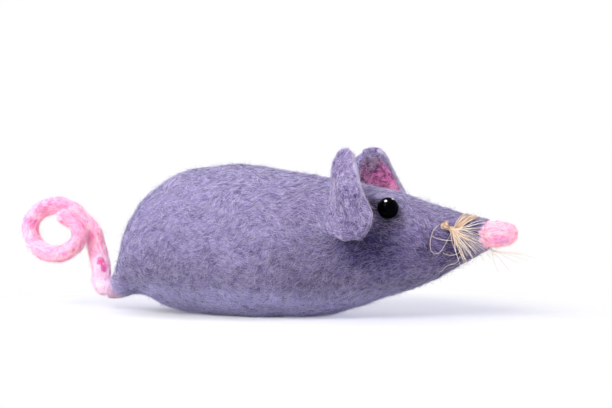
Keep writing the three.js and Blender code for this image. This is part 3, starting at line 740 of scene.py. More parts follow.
class Workshop:
    """What every sub-assembly works with: shared effects and the fibre maker."""

    def __init__(self) -> None:
        """Makes both."""
        self.effects = SharedEffects()
        self.fibres = FibreMaker()

    def felted(
        self, name: str, shape: Shape, finish: FeltFinish, waves: tuple[Wave, ...], seed: float, **pressed
    ) -> tuple[Object, Material]:
        """Makes a lumpy felt piece.

        Args:
            name: the piece's name.
            shape: its smooth form.
            finish: wool that it is felted from.
            waves: lumps in its surface.
            seed: shift of the lumps.
            pressed: dimples and floor, where it has them.

        Returns:
            The piece, and the material for fibres on it.
        """
        felt, hair = (finish.build(self.effects, on_fibres) for on_fibres in (False, True))
        piece = shape.piece(name, felt)
        roughen(piece, waves, seed, **pressed)
        return piece, hair

    def cover(
        self, piece: Object, hair: Material, layers: tuple[FibreLayer, ...], body: str, slot: Slot, node: str
    ) -> None:
        """Lays fibres on a felt piece and mounts it with them.

        Args:
            piece: the felt.
            hair: the material of its fibres.
            layers: the fibres to lay.
            body: the body that all of it rides.
            slot: the slot of its material.
            node: the node that the piece stands for.
        """
        for layer in layers:
            self.mount(self.fibres.lay(piece, layer, hair), body, slot)
        self.mount(piece, body, slot, node)

    @staticmethod
    def mount(piece: Object, body: str, slot: Slot, *nodes: str) -> Object:
        """Args: piece, the body that it rides, its slot (not used), the nodes it stands for. Returns: it."""
        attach(piece, body)
        if nodes:
            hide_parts(*nodes)
        return piece


LAVENDER = FeltFinish(
    "lavender", low=(96, 87, 127), mid=(145, 135, 176), high=(195, 188, 214), contrast=1.35
)
PINK = FeltFinish(
    "pink",
    low=(243, 136, 194),
    mid=(255, 188, 214),
    high=(255, 224, 232),
    contrast=2.1,
    sheen=0.06,
    # painted glow: the pink wool gives off a share of its colour, standing in for light passing through it
    glow=0.1,
)
LINING = FeltFinish("lining", low=(98, 58, 98), mid=(222, 124, 192), high=(252, 172, 222), contrast=3.8)
CORE = FeltFinish("core", low=(176, 170, 160), mid=(214, 208, 196), high=(240, 236, 226))
STRAW = PlainFinish("straw", (232, 208, 184), 0.6, 0.12, dark=(174, 134, 98), light=(255, 247, 238))
BEAD = PlainFinish("bead", (1, 1, 3), 0.08, 0.2, bending=1.12)
THREAD = PlainFinish("thread", (26, 25, 27), 0.8, 0.1)
LEAF = PlainFinish("leaf", (98, 112, 62), 0.85, 0.1, dark=(70, 78, 42), light=(134, 142, 88))


@dataclass(frozen=True)
class Station:
    """Section of the body, in shares of its length, of its height and of half its width."""

    along: float
    belly: float
    back: float
    flank: float


class BodyForm:
    """Form of the body, which the other sub-assemblies are placed on."""

    LENGTH = 97.6
    HEIGHT = 36.4
    WIDTH = 38.4
    REST_SHARE = 0.4426
    STATIONS = (
        Station(0.000, 0.082, 0.225, 0.156),
        Station(0.027, 0.091, 0.297, 0.240),
        Station(0.066, 0.126, 0.538, 0.490),
        Station(0.111, 0.121, 0.775, 0.688),
        Station(0.192, 0.041, 0.945, 0.896),
        Station(0.350, -0.014, 1.000, 1.000),
        Station(0.494, -0.014, 0.962, 0.979),
        Station(0.627, 0.036, 0.907, 0.865),
        Station(0.750, 0.148, 0.846, 0.672),
        Station(0.873, 0.280, 0.749, 0.438),
        Station(0.955, 0.393, 0.686, 0.281),
        Station(1.000, 0.464, 0.662, 0.188),
    )
    EYE = (32.9, 42.0)
    TABLE_STEPS = 900
    STEP = 0.2

    def __init__(self) -> None:
        """Reads the sections along the smooth outline into a table."""
        places = [self.LENGTH * (s.along - self.REST_SHARE) for s in self.STATIONS]
        heights = [(self.HEIGHT * s.belly, self.HEIGHT * s.back) for s in self.STATIONS]
        sides = SmoothLine([(x, *height) for x, height in zip(places, heights)])
        widths = [self.WIDTH / 2 * s.flank for s in self.STATIONS]
        plan = SmoothLine([(x, width, 0.0) for x, width in zip(places, widths)])
        self.collar, rows = places[-1], []
        for share in np.linspace(0.0, 1.0, self.TABLE_STEPS):
            x, belly, back = sides.at(share)
            rows.append((x, (belly + back) / 2, (back - belly) / 2, plan.at(share)[1]))
        self.table = np.array(rows)

    def section(self, x: float) -> Triple:
        """Args: place along the body. Returns: middle height, half height and flank there."""
        return tuple(float(np.interp(x, self.table[:, 0], self.table[:, i])) for i in (1, 2, 3))

    @staticmethod
    def ring(x: float, middle: float, half: float, flank: float, sides: int) -> np.ndarray:
        """Args: place along, the section there and how many points. Returns: points round it."""
        turns = circle(sides)
        return np.stack([np.full(sides, x), flank * np.cos(turns), middle + half * np.sin(turns)], axis=1)

    def skin(self, x: float, angle: float) -> np.ndarray:
        """Args: place along, degrees above the flank. Returns: the point of the right side."""
        middle, half, flank = self.section(x)
        turn = math.radians(angle)
        return np.array((x, -flank * math.cos(turn), max(middle + half * math.sin(turn), 0.0)))

    def normal(self, x: float, angle: float) -> np.ndarray:
        """Args: place on the right side. Returns: the way out of the skin there."""
        along = self.skin(x + self.STEP, angle) - self.skin(x - self.STEP, angle)
        up = self.skin(x, angle + self.STEP) - self.skin(x, angle - self.STEP)
        return unit(np.cross(along, up))

    def above(self, x: float, angle: float, rise: float) -> np.ndarray:
        """Args: place on the right side and height over it. Returns: the point there."""
        return self.skin(x, angle) + self.normal(x, angle) * rise


def coat(name: str, *sizes: float, seed: int, spread: float = 40.0) -> FibreLayer:
    """Lays out one layer of the body's short fibres.

    Args:
        name: where the layer lies among the others.
        sizes: length, radius, bend, lift and lift of the tips.
        seed: start of its random draws.
        spread: turn of a fibre against the next one.

    Returns:
        The layer.
    """
    length, radius, bend, lift, tip_lift = sizes
    area = {"per_area": 1.4, "bend_size": 0.9, "swirl_size": 14.0, "swirl_turn": 300.0, "points": 3}
    own = {"length": length, "radius": radius, "bend": bend, "lift": lift, "tip_lift": tip_lift}
    return FibreLayer(f"body_fibres_{name}", seed=seed, spread=spread, **area, **own)


@dataclass
class Body:
    """Stuffed body of lavender felt, with the wool core and the catnip inside it."""

    shop: Workshop
    form: BodyForm
    rings: int = 230
    sides: int = 168
    end_rings: int = 8
    nub_round: float = 1.6
    collar_round: float = 0.8
    waves: tuple[Wave, ...] = (Wave(15.0, 0.5), Wave(6.0, 0.3), Wave(2.4, 0.2), Wave(1.1, 0.1))
    end_size: float = 0.05
    wave_seed: float = 3.1
    dimple_rise: float = 0.2
    dimple_radius: float = 4.6
    dimple_depth: float = 0.7
    fill: float = 0.92
    layers: tuple[FibreLayer, ...] = (
        coat("under", 1.7, 0.046, 1.3, 0.1, 0.1, seed=11),
        coat("lower", 1.6, 0.044, 1.4, 0.16, 0.12, seed=12),
        coat("middle", 1.6, 0.042, 1.4, 0.2, 0.16, seed=13),
        coat("upper", 1.5, 0.04, 1.5, 0.25, 0.25, seed=14, spread=60.0),
        coat("top", 1.5, 0.036, 1.5, 0.28, 0.4, seed=16, spread=60.0),
        FibreLayer("body_fuzz", 0.8, 2.8, 0.026, 2.0, 1.5, 0.3, 1.4, 15, spread=180.0),
    )
    spots: tuple[Spot, ...] = (
        # painted light: paler band along the belly, standing in for light thrown up from the table
        Spot((0.0, 0.0, 0.0), 4.0, 6.0, (192, 184, 236), 0.9, 2.0, (400.0, 400.0, 1.0)),
        Spot((13.0, -13.0, 27.0), 3.0, 8.0, (134, 120, 162), 0.6, 4.0),
        # painted shade: darker neck below the ear, where the ear's shadow reaches
        Spot((17.6, -16.5, 14.3), 4.0, 10.0, (117, 106, 146), 0.7, 4.0, (1.2, 1.0, 1.0)),
        # darker cheek under the ear: partly darker wool, partly painted shadow of the ear
        Spot((34.0, -11.5, 16.5), 4.0, 9.0, (98, 84, 140), 0.75, 3.0, (1.4, 1.0, 0.9)),
        # painted shadow of the ear on the cheek, over some darker wool
        Spot((29.8, -13.3, 18.0), 2.5, 6.5, (62, 53, 102), 0.95, 3.0, (1.3, 1.0, 0.9)),
        Spot((46.5, -5.5, 19.0), 4.0, 8.0, (111, 95, 142), 0.6, 4.0),
        Spot((45.4, -7.2, 17.6), 2.4, 4.0, (86, 72, 122), 0.7, 3.0),
        # painted shadow on the cheek under the whisker tuft
        Spot((49.6, -5.8, 17.4), 1.6, 3.0, (76, 60, 108), 0.8, 2.0),
        Spot((37.5, -7.0, 26.0), 2.5, 5.0, (122, 110, 150), 0.6, 3.0),
        # painted highlight above the eye
        Spot((31.0, -3.6, 30.0), 1.5, 3.0, (174, 160, 204), 0.7, 2.0),
        # painted shade in the hollow behind the eye, towards the ear
        Spot((29.4, -9.1, 27.0), 1.2, 2.8, (52, 40, 74), 0.9, 2.0),
        # painted shade below the eye
        Spot((33.9, -10.2, 23.8), 2.2, 2.6, (70, 58, 96), 0.8, 1.6),
        Spot((-44.0, -1.0, 4.4), 2.6, 3.2, (252, 212, 238), 0.95, 2.4, low_share=0.85),
        Spot((52.0, -3.7, 22.4), 1.4, 2.2, (92, 78, 118), 0.8, 1.4),
        Spot((56.9, -1.7, 20.2), 3.2, 1.2, (252, 190, 222), 1.0, 2.0, low_share=0.85),
    )

    def rings_of(self) -> list[np.ndarray]:
        """Returns: rings from the rounded nub to the rounded nose collar, flat where they rest."""
        first, last = self.form.table[0], self.form.table[-1]
        turns = np.linspace(math.pi / 2, 0.0, self.end_rings, endpoint=False)

        def rounded(end: np.ndarray, reach: float, turn: float) -> tuple:
            """Args: end section, how far it bulges, turn. Returns: the section at that turn."""
            size = max(math.cos(turn), self.end_size)
            return (end[0] + reach * math.sin(turn), end[1], *(end[2:] * size))

        sections = [rounded(first, -self.nub_round, turn) for turn in turns]
        sections += [(x, *self.form.section(x)) for x in np.linspace(first[0], last[0], self.rings)]
        sections += [rounded(last, self.collar_round, turn) for turn in turns[::-1]]
        table = (-np.inf, -np.inf, 0.0)
        return [np.maximum(self.form.ring(*section, self.sides), table) for section in sections]

    def build(self) -> tuple[Object, Material]:
        """Returns: the felt body, and the material for its fibres."""
        shape = Shape.loft(self.rings_of())
        shape.values["grain"] = np.tile((1.0, 0.0, 0.0), (len(shape.vertices), 1))
        finish = replace(LAVENDER, spots=self.spots)
        eye = self.form.above(*self.form.EYE, self.dimple_rise)
        dimples = tuple(
            Dimple(tuple(side.turned(eye)), self.dimple_radius, self.dimple_depth) for side in Side
        )
        pressed = {"dimples": dimples, "floor": 0.0}
        return self.shop.felted("body_felt", shape, finish, self.waves, self.wave_seed, **pressed)

    def dress(self) -> None:
        """Makes the body, its fibres and what is inside it."""
        piece, hair = self.build()
        self.shop.cover(piece, hair, self.layers, "mouse", Slot.LAVENDER, "body_skin")
        Stuffing(self.shop, self.form).dress()


@dataclass
class Stuffing:
    """Wool core with a pouch of catnip, out of sight inside the body."""

    shop: Workshop
    form: BodyForm
    skin: float = 3.6
    rear: float = -36.0
    front: float = 44.0
    rings: int = 48
    sides: int = 36
    pouch_x: float = -4.0
    pouch_height: float = 17.0
    pouch_radius: float = 6.2
    pouch_half: float = 15.0
    flakes: int = 900
    flake_size: float = 1.5
    flake_depth: float = 0.05
    seed: int = 5
    end_round: int = 8
    end_size: float = 0.08
    least: float = 0.6
    waves: tuple[Wave, ...] = (Wave(5.0, 0.5), Wave(2.0, 0.2))
    wave_seed: float = 9.4
    core_fill: float = 1.0
    catnip_fill: float = 0.8

    def core(self) -> Object:
        """Returns: the lumpy wool core."""
        rings = []
        for share in np.linspace(0.0, 1.0, self.rings):
            x = self.rear + (self.front - self.rear) * share
            middle, *sizes = self.form.section(x)
            swell = max(math.sqrt(1 - (2 * share - 1) ** self.end_round), self.end_size)
            reach = [max(size - self.skin, self.least) * swell for size in sizes]
            rings.append(self.form.ring(x, middle, *reach, self.sides))
        piece = Shape.loft(rings).piece("core_stuffing", CORE.build(self.shop.effects, False))
        roughen(piece, self.waves, self.wave_seed)
        return piece

    def catnip(self) -> Object:
        """Returns: the crumbled leaf in its pouch."""
        draw = np.random.default_rng(self.seed)
        shapes = []
        while len(shapes) < self.flakes:
            offset = draw.uniform(-1.0, 1.0, 3)
            if np.linalg.norm(offset) > 1.0:
                continue
            reach = np.array((self.pouch_half, self.pouch_radius, self.pouch_radius))
            centre = np.array((self.pouch_x, 0.0, self.pouch_height)) + offset * reach
            along, across = (unit(draw.normal(size=3)) * self.flake_size for _ in range(2))
            corners = centre + np.array((along / 2, across / 3, -along / 2, -across / 3))
            lift = np.cross(along, across) * self.flake_depth
            flake = Shape.loft([corners, corners + lift])
            flake.values["fibre_tone"] = np.full(len(flake.vertices), draw.uniform())
            shapes.append(flake)
        return Shape.joined(shapes).piece("catnip_crumbs", LEAF.build())

    def dress(self) -> None:
        """Makes both and mounts them."""
        core = self.shop.mount(self.core(), "mouse", Slot.CORE, "core_wool")
        crumbs = self.shop.mount(self.catnip(), "mouse", Slot.LEAF, "catnip_charge")


@dataclass(frozen=True)
class EarLean:
    """How far an ear's top is set forward at its back and front edge, up and blunt, in mm."""

    back: float
    front: float
    lift: float
    blunt: float


EAR_LEANS = {Side.RIGHT: EarLean(0.9, 0.9, 0.0, 0.3), Side.LEFT: EarLean(-0.6, 0.4, 0.3, 0.6)}


@dataclass
class Ear:
    """Cupped felt ear with its pink lining.

    Places on its edges are a share of the reach behind the nose collar, degrees up from the flank and
    a share of the rise above the seat.
    """

    shop: Workshop
    form: BodyForm
    side: Side
    lean: EarLean
    thickness: float = 2.0
    back_thickness: float = 0.15
    seat: float = 1.4
    sink: float = 1.7
    scoop: float = 1.8
    trim: float = 0.03
    rows: int = 84
    columns: int = 44
    reach: float = 36.0
    rise: float = 9.4
    back_edge: tuple = (
        (0.780, 6.0, 0.266),
        (0.919, 13.0, 0.106),
        (0.975, 28.0, 0.0),
        (0.994, 46.0, 0.0),
        (1.000, 62.0, 0.021),
        (0.986, 66.0, 0.532),
        (0.936, 64.0, 1.0),
    )
    front_edge: tuple = (
        (0.780, 6.0, 0.266),
        (0.708, 11.0, 0.394),
        (0.683, 25.0, 0.447),
        (0.769, 39.0, 0.660),
        (0.839, 53.0, 0.872),
        (0.886, 60.0, 0.989),
        (0.936, 64.0, 1.0),
    )
    waves: tuple[Wave, ...] = (Wave(5.0, 0.28), Wave(2.2, 0.18), Wave(1.0, 0.08))
    finish: FeltFinish = replace(
        LAVENDER,
        low=(82, 70, 115),
        mid=(143, 129, 176),
        high=(204, 193, 222),
        # painted highlight along the upper front edge of the ear
        rim=(216, 207, 230),
        patch=0.8,
        contrast=2.0,
    )
    shades: tuple = (
        ((0.42, 0.62), 1.2, 3.6, (108, 94, 146), 0.5, 3.0),
        ((0.2, 0.5), 2.0, 4.5, (108, 94, 146), 0.45, 3.0),
    )
    wave_seed: float = 5.0
    fibre_seeds: tuple[int, int] = (30, 40)
    held_from: Pair = (0.04, 0.24)
    held_to: Pair = (0.52, 0.74)
    flat_to: float = 0.7
    sunk_to: float = 0.75
    thin_to: float = 0.55
    lean_rows: Pair = (0.25, 0.85)
    blunt_rows: Pair = (0.6, 0.92)
    crown_rows: Pair = (0.8, 1.0)
    # where the painted edge highlight lies on the ear, and how strong it is
    rim_rows: Pair = (0.25, 0.5)
    rim_columns: Pair = (0.965, 1.0)
    rim_share: float = 0.65
    crowding: float = 0.6
    edge_round: int = 5
    end_round: int = 9
    lining_rows: Pair = (0.12, 0.91)
    lining_columns: Pair = (0.14, 0.97)
    lining_rise: float = 0.55
    lining_depth: float = 0.9
    lining_steps: int = 40
    lining_taper: float = 0.4
    lining_tip: float = 0.005
    lining_trim: float = 0.999
    lining_wave_seed: float = 8.0
    lining_shades: tuple = (
        ((0.5, 0.8), 1.5, 3.0, (250, 140, 200), 0.8, 2.4),
        ((0.86, 0.5), 1.9, 3.4, (102, 74, 116), 0.9, 4.0),
        ((0.66, 0.24), 1.0, 2.8, (112, 70, 112), 0.8, 4.0),
    )

    def __post_init__(self) -> None:
        """Draws the two edges."""
        self.back, self.front = (
            SmoothLine(
                [
                    self.form.above(self.form.collar - self.reach * d, a, self.seat + self.rise * up)
                    for d, a, up in edge
                ]
            )
            for edge in (self.back_edge, self.front_edge)
        )

    def point(self, high: float, wide: float) -> np.ndarray:
        """Args: shares of the way up and from back to front. Returns: the mid-surface there."""
        step, last, arch = 0.02, 0.97, 4 * wide * (1 - wide)
        back, front = self.back.at(high), self.front.at(high)
        rising = self.back.at(high + step) + self.front.at(high + step) - back - front
        if high > last:
            rising = back + front - self.back.at(high - step) - self.front.at(high - step)
        outward = unit(np.cross(front - back, rising))
        flat = self.held(high) * (1 - smoothstep(wide, 0.0, self.flat_to))
        bow = self.scoop * arch * math.sin(math.pi * high) * (1 - flat)
        drop = self.sink * self.held(high) * (1 - smoothstep(wide, 0.0, self.sunk_to))
        sunk = self.form.normal(*self.foot(high)) * drop
        lead = self.lean.back + (self.lean.front - self.lean.back) * wide
        shift = np.array((lead, 0.0, self.lean.lift)) * smoothstep(high, *self.lean_rows)
        shift[0] += self.lean.blunt * (2 * wide - 1) * smoothstep(high, *self.blunt_rows)
        shift[2] += self.lean.blunt * arch * smoothstep(high, *self.crown_rows)
        return back + (front - back) * wide + outward * bow - sunk + shift

    def held(self, high: float) -> float:
        """Args: share of the way up. Returns: 1 where the back edge is felted to the head."""
        return smoothstep(high, *self.held_from) * (1 - smoothstep(high, *self.held_to))

    def spots(self, rows: tuple) -> tuple[Spot, ...]:
        """Args: spots with their places as shares of the ear. Returns: the spots on this side."""
        return tuple(Spot(tuple(self.side.turned(self.point(*place))), *rest) for place, *rest in rows)

    def foot(self, high: float) -> Pair:
        """Args: share of the way up. Returns: the place on the skin under the back edge."""
        place = high * (len(self.back_edge) - 1)
        steps = range(len(self.back_edge))
        behind, angle = (np.interp(place, steps, [e[i] for e in self.back_edge]) for i in (0, 1))
        return self.form.collar - self.reach * float(behind), float(angle)

    def normal(self, high: float, wide: float) -> np.ndarray:
        """Args: place on the ear. Returns: the way out of its outer face."""
        step = 0.01
        across = self.point(high, min(wide + step, 1.0)) - self.point(high, max(wide - step, 0.0))
        up = self.point(min(high + step, 1.0), wide) - self.point(max(high - step, 0.0), wide)
        return unit(np.cross(across, up))

    def sheet(self, rows: np.ndarray, wides: np.ndarray, place) -> Shape:
        """Skins a sheet with rounded edges.

        Args:
            rows: shares of the way up.
            wides: shares of the way across.
            place: gives the outer and the inner point at a row, a share across and a fullness.

        Returns:
            The sheet on this ear's side.
        """
        rings = []
        ends, edges = (
            [math.sqrt(max(1 - abs(share) ** power, 0.0)) for share in np.linspace(-1.0, 1.0, count)]
            for count, power in ((len(rows), self.end_round), (len(wides), self.edge_round))
        )
        for end, high in zip(ends, rows):
            outer, inner = [], []
            for edge, wide in zip(edges, wides):
                out, back = place(high, wide, edge * end)
                outer.append(out)
                inner.append(back)
            rings.append(self.side.turned(np.array(outer + inner[-2:0:-1])))
        return Shape.loft(rings)

    def build(self) -> tuple[Object, Material]:
        """Returns: the felt ear, and the material for its fibres."""
        eased, wides = (-np.cos(np.linspace(0.0, math.pi, n)) / 2 + 0.5 for n in (self.rows, self.columns))
        shares = self.crowding * eased + (1 - self.crowding) * np.linspace(0, 1, self.rows)
        highs = self.trim + (1 - 2 * self.trim) * shares

        def faces(high: float, wide: float, full: float) -> tuple[np.ndarray, np.ndarray]:
            """Args: place on the ear, and fullness. Returns: its outer and inner point."""
            thin = self.held(high) * (1 - smoothstep(wide, 0.0, self.thin_to)) * (1 - self.back_thickness)
            reach = self.normal(high, wide) * self.thickness / 2 * full * (1 - thin)
            return self.point(high, wide) + reach, self.point(high, wide) - reach

        shape = self.sheet(highs, wides, faces)
        lap = np.concatenate([wides, wides[-2:0:-1]])
        # painted highlight: the upper front edge gets the pale colour
        edge = np.tile(smoothstep(lap, *self.rim_columns), self.rows)
        high_of = np.repeat(highs, len(lap))
        shape.values["rim"] = self.rim_share * edge * smoothstep(high_of, *self.rim_rows)
        grain = np.gradient(shape.vertices.reshape(self.rows, -1, 3), axis=0).reshape(-1, 3)
        shape.values["grain"] = unit(grain + 1e-6)
        finish = replace(self.finish, spots=self.spots(self.shades))
        seed = self.wave_seed + self.side.value
        return self.shop.felted(f"ear_felt_{self.side.word}", shape, finish, self.waves, seed)

    def lining(self) -> tuple[Object, Material]:
        """Returns: the pink lining, and the material for its fibres."""
        shares = np.linspace(-1.0, 1.0, self.lining_steps)
        (low, high), (back, front) = self.lining_rows, self.lining_columns

        def faces(row: float, across: float, full: float) -> tuple[np.ndarray, np.ndarray]:
            """Args: place on the lining, and fullness. Returns: its outer and inner point."""
            taper = max(1 - row**2, self.lining_tip) ** self.lining_taper
            up = (low + high) / 2 + (high - low) / 2 * row
            over = (back + front) / 2 + (front - back) / 2 * across * taper
            middle, out = self.point(up, over), self.normal(up, over)
            base = middle - out * self.lining_rise
            return base, base - out * self.lining_depth * full * taper

        shape = self.sheet(self.lining_trim * shares, shares, faces)
        finish = replace(LINING, spots=self.spots(self.lining_shades))
        seed = self.lining_wave_seed + self.side.value
        return self.shop.felted(f"ear_lining_felt_{self.side.word}", shape, finish, self.waves[1:], seed)

    def dress(self) -> None:
        """Makes the ear, its lining and their fibres."""
        body, seed = f"{self.side.word}_ear", self.fibre_seeds[self.side is Side.LEFT]
        ear, lining = self.build(), self.lining()
        for name, made, slot, layers in (
            ("ear", ear, Slot.LAVENDER, self.coat("ear", seed)),
            ("ear_lining", lining, Slot.LINING, self.coat("ear_lining", seed + 5)[:1]),
        ):
            self.shop.cover(*made, layers, body, slot, f"{name}_{self.side.word}")

    def coat(self, name: str, seed: int) -> tuple[FibreLayer, ...]:
        """Args: what they grow on, and seed. Returns: a flat and a loose layer of fibres."""
        flat, loose = (f"{name}_fibres_{kind}_{self.side.word}" for kind in ("flat", "loose"))
        return (
            FibreLayer(flat, 13.0, 1.4, 0.036, 1.3, 0.9, 0.18, 0.2, seed, swirl_size=5.0, points=3),
            FibreLayer(loose, 1.8, 2.2, 0.026, 1.8, 1.4, 0.3, 0.8, seed + 1, spread=180.0),
        )


@dataclass
class Eye:
    """Glossy black bead sunk in the felt."""

    shop: Workshop
    form: BodyForm
    side: Side
    stand: float = 1.1
    radius: float = 2.5
    segments: int = 48
    shank_radius: float = 0.8
    shank_length: float = 2.4
    shank_start: float = 0.96
    shank_end: float = 0.05
    front_end: float = 0.02

    def dress(self) -> None:
        """Makes the bead with its shank and mounts it."""
        out = self.form.normal(*self.form.EYE)
        centre = self.form.above(*self.form.EYE, self.stand)
        sweep = np.linspace(math.pi, 0.0, self.segments)
        turn = [t for t in sweep if self.radius * math.sin(t) > self.shank_radius or t < math.pi / 2]
        inner = self.radius + self.shank_length
        profile = [(-inner, self.shank_end), (-inner, self.shank_radius)]
        profile.append((-self.radius * self.shank_start, self.shank_radius))
        profile += [(self.radius * math.cos(t), max(self.radius * math.sin(t), self.front_end)) for t in turn]
        path = np.array([centre + out * along for along, _ in profile])
        first = np.cross(out, (0.0, 0.0, 1.0))
        axes = unit(first), np.cross(out, unit(first))
        around = circle(self.segments)[:, None]
        rings = [
            self.side.turned(place + reach * (np.cos(around) * axes[0] + np.sin(around) * axes[1]))
            for place, (_, reach) in zip(path, profile)
        ]
        piece = Shape.loft(rings).piece(f"eye_{self.side.word}", BEAD.build())
        self.shop.mount(piece, "mouse", Slot.BEAD, f"eye_bead_{self.side.word}")


@dataclass
class Nose:
    """Knob of pink wool felted onto the snout."""

    shop: Workshop
    base: Triple = (53.0, 0.0, 20.7)
    length: float = 8.9
    radius: float = 3.1
    rings: int = 60
    sides: int = 72
    waves: tuple[Wave, ...] = (Wave(4.0, 0.35), Wave(1.8, 0.2), Wave(0.8, 0.08))
    layers: tuple[FibreLayer, ...] = (
        FibreLayer("nose_fibres", 7.0, 2.2, 0.045, 1.6, 1.8, 0.16, 0.2, 51, 4.0, 120.0, 25.0),
        FibreLayer("nose_fuzz", 1.5, 3.0, 0.03, 2.0, 2.2, 0.3, 0.9, 52, 4.0, 360.0, 120.0),
    )
    crowding: float = 0.8
    swell: float = 0.1
    swell_length: float = 1.1
    tip_round: float = 4.2
    tip_size: float = 0.0006
    wave_seed: float = 21.0
    finish: FeltFinish = replace(
        PINK,
        name="nose_pink",
        low=(248, 146, 196),
        mid=(255, 195, 213),
        high=(255, 225, 231),
        spots=(Spot((58.6, -2.8, 19.3), 0.6, 1.7, (240, 148, 212), 0.7, 2.0, (2.2, 1.0, 0.7), 0.9),),
    )

    def dress(self) -> None:
        """Makes the knob and its fibres."""
        shares = np.linspace(0.0, 1.0, self.rings) ** self.crowding
        path = np.array(self.base) + np.outer(shares, (self.length, 0.0, 0.0))
        swell = 1 - self.swell + self.swell * np.sin(math.pi * np.clip(shares * self.swell_length, 0, 1))
        radii = self.radius * swell * np.sqrt(np.clip(1 - shares**self.tip_round, self.tip_size, 1.0))
        shape = Shape.tube(path, radii, self.sides)
        made = self.shop.felted("nose_felt", shape, self.finish, self.waves, self.wave_seed)
        self.shop.cover(*made, self.layers, "mouse", Slot.PINK, "nose_knob")


RosySpot = partial(Spot, low_share=0.9)


@dataclass
class Tail:
    """Curled tail of pink wool in one skin over the pin, the stem and the ring."""

    shop: Workshop
    mouth: Pair = (-43.2, 5.6)
    pin_tilt: float = 20.0
    pin_depths: tuple[float, ...] = (5.0, 2.5, 0.0)
    elbow: Pair = (2.8, 0.9)
    crease: Pair = (3.3, 4.9)
    stem: tuple = ((4.2, 9.6), (5.7, 14.2))
    centre: Pair = (15.8, 14.8)
    half_length: float = 7.5
    half_height: float = 6.2
    start: float = 30.0
    end: float = 440.0
    point_step: float = 15.0
    pitch: float = 6.0
    lean: float = 0.36
    tuck: float = 0.4
    tuck_start: float = 330.0
    radius: float = 2.45
    tip_radius: float = 1.8
    pin_radius: float = 1.6
    bend_half: float = 2.2
    steps: int = 320
    sides: int = 56
    tip_end: float = 0.01
    waves: tuple[Wave, ...] = (Wave(5.0, 0.24), Wave(2.2, 0.16), Wave(1.0, 0.07))
    wave_seed: float = 33.0
    layers: tuple[FibreLayer, ...] = (
        FibreLayer("tail_fibres", 4.0, 3.6, 0.045, 1.8, 2.0, 0.14, 0.2, 61, 5.0, 180.0, 45.0),
        FibreLayer("tail_fuzz", 1.4, 3.4, 0.028, 2.4, 2.6, 0.3, 1.2, 62, 4.0, 360.0, 150.0),
    )
    spots: tuple[Spot, ...] = (
        RosySpot((-57.0, -3.6, 26.2), 1.2, 3.2, (236, 132, 180), 0.75, 4.0),
        RosySpot((-61.0, -3.8, 25.3), 0.7, 2.0, (232, 116, 174), 0.8, 3.0),
        RosySpot((-49.4, -5.9, 23.0), 1.2, 2.8, (248, 150, 204), 0.7, 3.0),
        RosySpot((-52.4, -6.4, 24.0), 0.9, 2.6, (238, 138, 186), 0.75, 4.0),
        RosySpot((-63.7, -4.4, 22.1), 0.5, 1.7, (242, 122, 186), 0.8, 1.4),
        RosySpot((-48.3, -2.5, 19.1), 0.4, 1.5, (240, 122, 184), 0.7, 1.2),
        # painted light: paler stem, standing in for the strong light on the tail's stem
        RosySpot((-45.6, -1.5, 9.5), 1.5, 3.0, (255, 226, 248), 0.8, 2.0, (1.0, 1.0, 2.0)),
        RosySpot((-45.3, -1.8, 12.5), 0.6, 0.9, (240, 84, 168), 0.9, 2.4),
        RosySpot((-44.6, -1.8, 10.8), 0.5, 1.0, (240, 92, 182), 0.9, 2.4),
        Spot((-51.0, -6.4, 15.4), 0.25, 0.4, (196, 122, 92), 0.85, 0.2),
        # paler pink wool at the elbow, partly painted light standing in for the strong light on the tail's
        # root
        RosySpot((-43.4, 0.0, 5.2), 1.6, 2.2, (255, 222, 244), 0.95, 2.0),
    )

    def behind(self, place: Pair) -> np.ndarray:
        """Args: distance behind and above the mouth. Returns: the point."""
        return np.array((self.mouth[0] - place[0], 0.0, self.mouth[1] + place[1]))

    def route(self) -> SmoothLine:
        """Returns: the centre line from inside the nub to the tip."""
        tilt = math.radians(self.pin_tilt)
        inward = np.array((math.cos(tilt), 0.0, math.sin(tilt)))
        points = [self.behind((0.0, 0.0)) + inward * depth for depth in self.pin_depths]
        points += [self.behind(place) for place in (self.elbow, self.crease, *self.stem)]
        middle = self.behind(self.centre)
        for degrees in np.arange(self.start, self.end, self.point_step):
            drift = self.pitch * (degrees - self.start) / 360
            reach = 1 - self.tuck * smoothstep(degrees, self.tuck_start, self.end)
            turn = math.radians(degrees)
            across = self.lean * drift + self.half_length * reach * math.cos(turn)
            points.append(middle + (across, -drift, self.half_height * reach * math.sin(turn)))
        return SmoothLine(points)

    def build(self) -> tuple[Object, Material]:
        """Returns: the felt tail, and the material for its fibres."""
        path = self.route().even(self.steps)
        run = run_along(path)
        left = np.minimum((run[-1] - run) / self.tip_radius, 1.0)
        grown = smoothstep(run - self.pin_depths[0], 0.0, self.radius)
        radii = self.radius + (self.tip_radius - self.radius) * run / run[-1]
        tip = np.sqrt(np.maximum(1 - (1 - left) ** 2, self.tip_end))
        radii = (self.pin_radius + (radii - self.pin_radius) * grown) * tip
        finish = replace(PINK, name="tail_pink", spots=self.spots)
        shape = Shape.tube(path, radii, self.sides)
        return self.shop.felted("tail_felt", shape, finish, self.waves, self.wave_seed)

    def dress(self) -> None:
        """Makes the tail and its fibres, and hides the tail's nodes."""
        piece, hair = self.build()
        fibres = [self.shop.fibres.lay(piece, layer, hair) for layer in self.layers]
        for bent in (piece, *fibres):
            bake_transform(bent)
        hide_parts("tail_root", "tail_curl")


